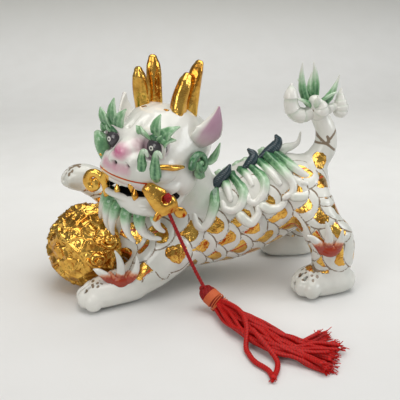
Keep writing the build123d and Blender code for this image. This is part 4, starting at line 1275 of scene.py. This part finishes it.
# Rows of x, y, z and radius of the tail's ringed shell curls
SHELLS = [[(92, 1, 136, 4.5), (84, 0, 132.5, 5.8), (76.5, -1, 135, 6.0), (73.5, -1, 141, 5.6),
           (73, -1, 147, 5.4), (73, -1, 152, 4.2), (73, -1, 156.5, 1.2)],
          [(114.5, 5, 151, 1.0), (114, 5, 147, 2.6), (114.5, 5, 141, 5.0), (115, 5, 136.5, 6.0),
           (115, 5, 134, 5.6)],
          [(96, 2, 134, 4.4), (102, 3, 135.5, 4.0), (108, 4, 137, 3.6), (113, 5, 138, 3.4)],
          [(95, -1, 133, 5.0), (96.5, -4, 137, 6.0), (96, -5, 141, 4.4), (94, -6, 144.5, 2.4),
           (92.5, -6, 148.5, 0.7)]]
RINGS = 4
shells = Skin()
for rows in SHELLS:
    shells.sweep([(*row, row[3]) for row in rows], 0.6, (0, 1, 0), 26,
                 relief=lambda turn, along: 1.06 - 0.13 * ((along * RINGS) % 1.0),
                 green=lambda points, along, turn: 0.1 * ease((along * RINGS) % 1.0, 0.6, 1.0))
shells.make("tail_shell_curls", green_enamel, ["tail_shells"])

# ---------------------------------------------------------------- ball and mouth bar

BALL_CENTRE = np.array((-84.0, 3.0, 33.3))
BALL_RADIUS = 32.4


def model_ball():
    """Gilt ball of folded plates with three-cornered pockets, and two rosettes on it."""
    clay = Clay(BALL_CENTRE - 38, BALL_CENTRE + 38, BALL_STEP)
    clay.lump(BALL_CENTRE, (BALL_RADIUS,) * 3, blend=1)
    points, faces, _ = clay.skin()
    out = unit(points - BALL_CENTRE)
    count = 175
    rise = 1 - 2 * (np.arange(count) + 0.5) / count
    swing = np.arange(count) * GOLDEN_TURN
    plates = np.stack([np.sqrt(1 - rise**2) * np.cos(swing), np.sqrt(1 - rise**2) * np.sin(swing), rise], 1)
    plates = unit(plates + dice.normal(0, 0.07, (count, 3)))
    gaps = np.arccos(np.clip(out @ plates.T, -1, 1)) * BALL_RADIUS
    order = np.argpartition(gaps, 2, axis=1)[:, :2]
    pair = np.sort(np.take_along_axis(gaps, order, 1), 1)
    mine = gaps.argmin(1)
    across = (out - plates[mine]) * BALL_RADIUS
    tilt = 0.24 * np.sum(across * dice.normal(0, 1, (count, 3))[mine], 1)
    fold = np.sum(across * unit(dice.normal(0, 1, (count, 3)))[mine], 1)
    strength = dice.uniform(0.2, 1.0, count)[mine]
    ridge = 1.5 * strength * ease(pair[:, 1] - pair[:, 0], 2.2, 0.0)
    crease = 1.3 * (1.2 - strength) * ease(np.abs(fold), 1.8, 0.0) * ease(pair[:, 0], 5.5, 3.0)
    pocket = 1.6 * strength * ease(pair[:, 0] + 0.5 * np.abs(fold), 4.2, 1.2)
    radius = BALL_RADIUS - 0.6 + np.clip(tilt, -1.3, 1.3) + ridge + crease - pocket
    ball = Skin()
    ball.add(BALL_CENTRE + out * radius[:, None], faces)
    for spot, size in (((0.465, -0.786, 0.409), 5.6), ((0.16, -0.97, 0.03), 6.4)):
        spot = unit(spot)
        side = unit(np.cross(spot, (0, 0, 1)))
        up = np.cross(spot, side)
        coil = [(*(BALL_CENTRE + spot * (BALL_RADIUS - 0.5 + 0.75 * k / 2)
                   + (side * math.cos(0.8 * k) + up * math.sin(0.8 * k)) * size * (1 - k / 15)), 2.5, 2.0)
                for k in range(14)]
        ball.sweep(coil, 0.8, relief=lambda turn, along: 1 + 0.18 * np.sin(23 * along + 2 * turn))
    ball.make("gilt_ball", gilt("gilt_brocade", 0.4, 0.1), ["brocade_ball"])


model_ball()


def model_mouthpiece():
    """Gilt stem and curled knob at one side of the mouth, strap and folded head at the other."""
    strap = [*from_head([(33, 8, -29), (38, 13, -27.5)]), (-41, -56.5, 98.5), (-37, -58.5, 95),
             (-32.5, -60, 90.5), (-28.8, -60.5, 86.5), (-27, -60.5, 83)]
    widths = ((2.6, 2.0), (3.2, 2.4), (4.6, 3.0), (6.6, 3.6), (8.2, 4.3), (8.6, 4.8), (7.0, 3.6))
    clay = Clay((-95, -74, 70), (-4, -8, 112), FINE_STEP)
    clay.roll([(*p, *w) for p, w in zip(strap, widths)], (0.7, 0, 0.7), blend=1)
    clay.lump((-28.9, -66.5, 92.6), (4.2, 4.6, 4.0), blend=1.2, carve=True)
    for lobe in ([(-30, -60, 84, 1.6, 1.5), (-34, -61.5, 80, 4.0, 1.8), (-37, -62.5, 77, 2.4, 1.3)],
                 [(-24, -59, 84, 1.6, 1.5), (-19, -60, 80.6, 4.4, 1.8), (-15.6, -59.5, 78.6, 2.6, 1.3)]):
        clay.roll(lobe, (0.3, -0.2, 1), blend=1.2)
    stem = ((-68.5, -24, 84), (-69.5, -24, 91), (-70, -24, 97), (-69, -24, 101.5))
    clay.roll([(*p, 2.9, 2.6) for p in stem], (1, 0, 0), blend=1)
    knob = ((-70, -23.5, 93), (-75, -21, 99), (-80.5, -18.5, 98.5), (-83, -17.5, 93), (-80.5, -18.5, 88),
            (-76.5, -20.5, 89.5), (-77, -20, 93.5))
    clay.roll([(*p, 2.7, 3.2) for p in knob], (0.3, 0.95, 0), blend=0.8)
    clay.roll([(*ROUTE[0][:2], z, 2.5, 2.5) for z in (78, 84, 90, 96)], (1, 0, 0), blend=0.6, carve=True)
    points, faces, _ = clay.skin()
    piece = Skin()
    piece.add(points, faces)
    piece.make("gilt_mouthpiece", gilt_smooth, ["mouth_bar"])


model_mouthpiece()
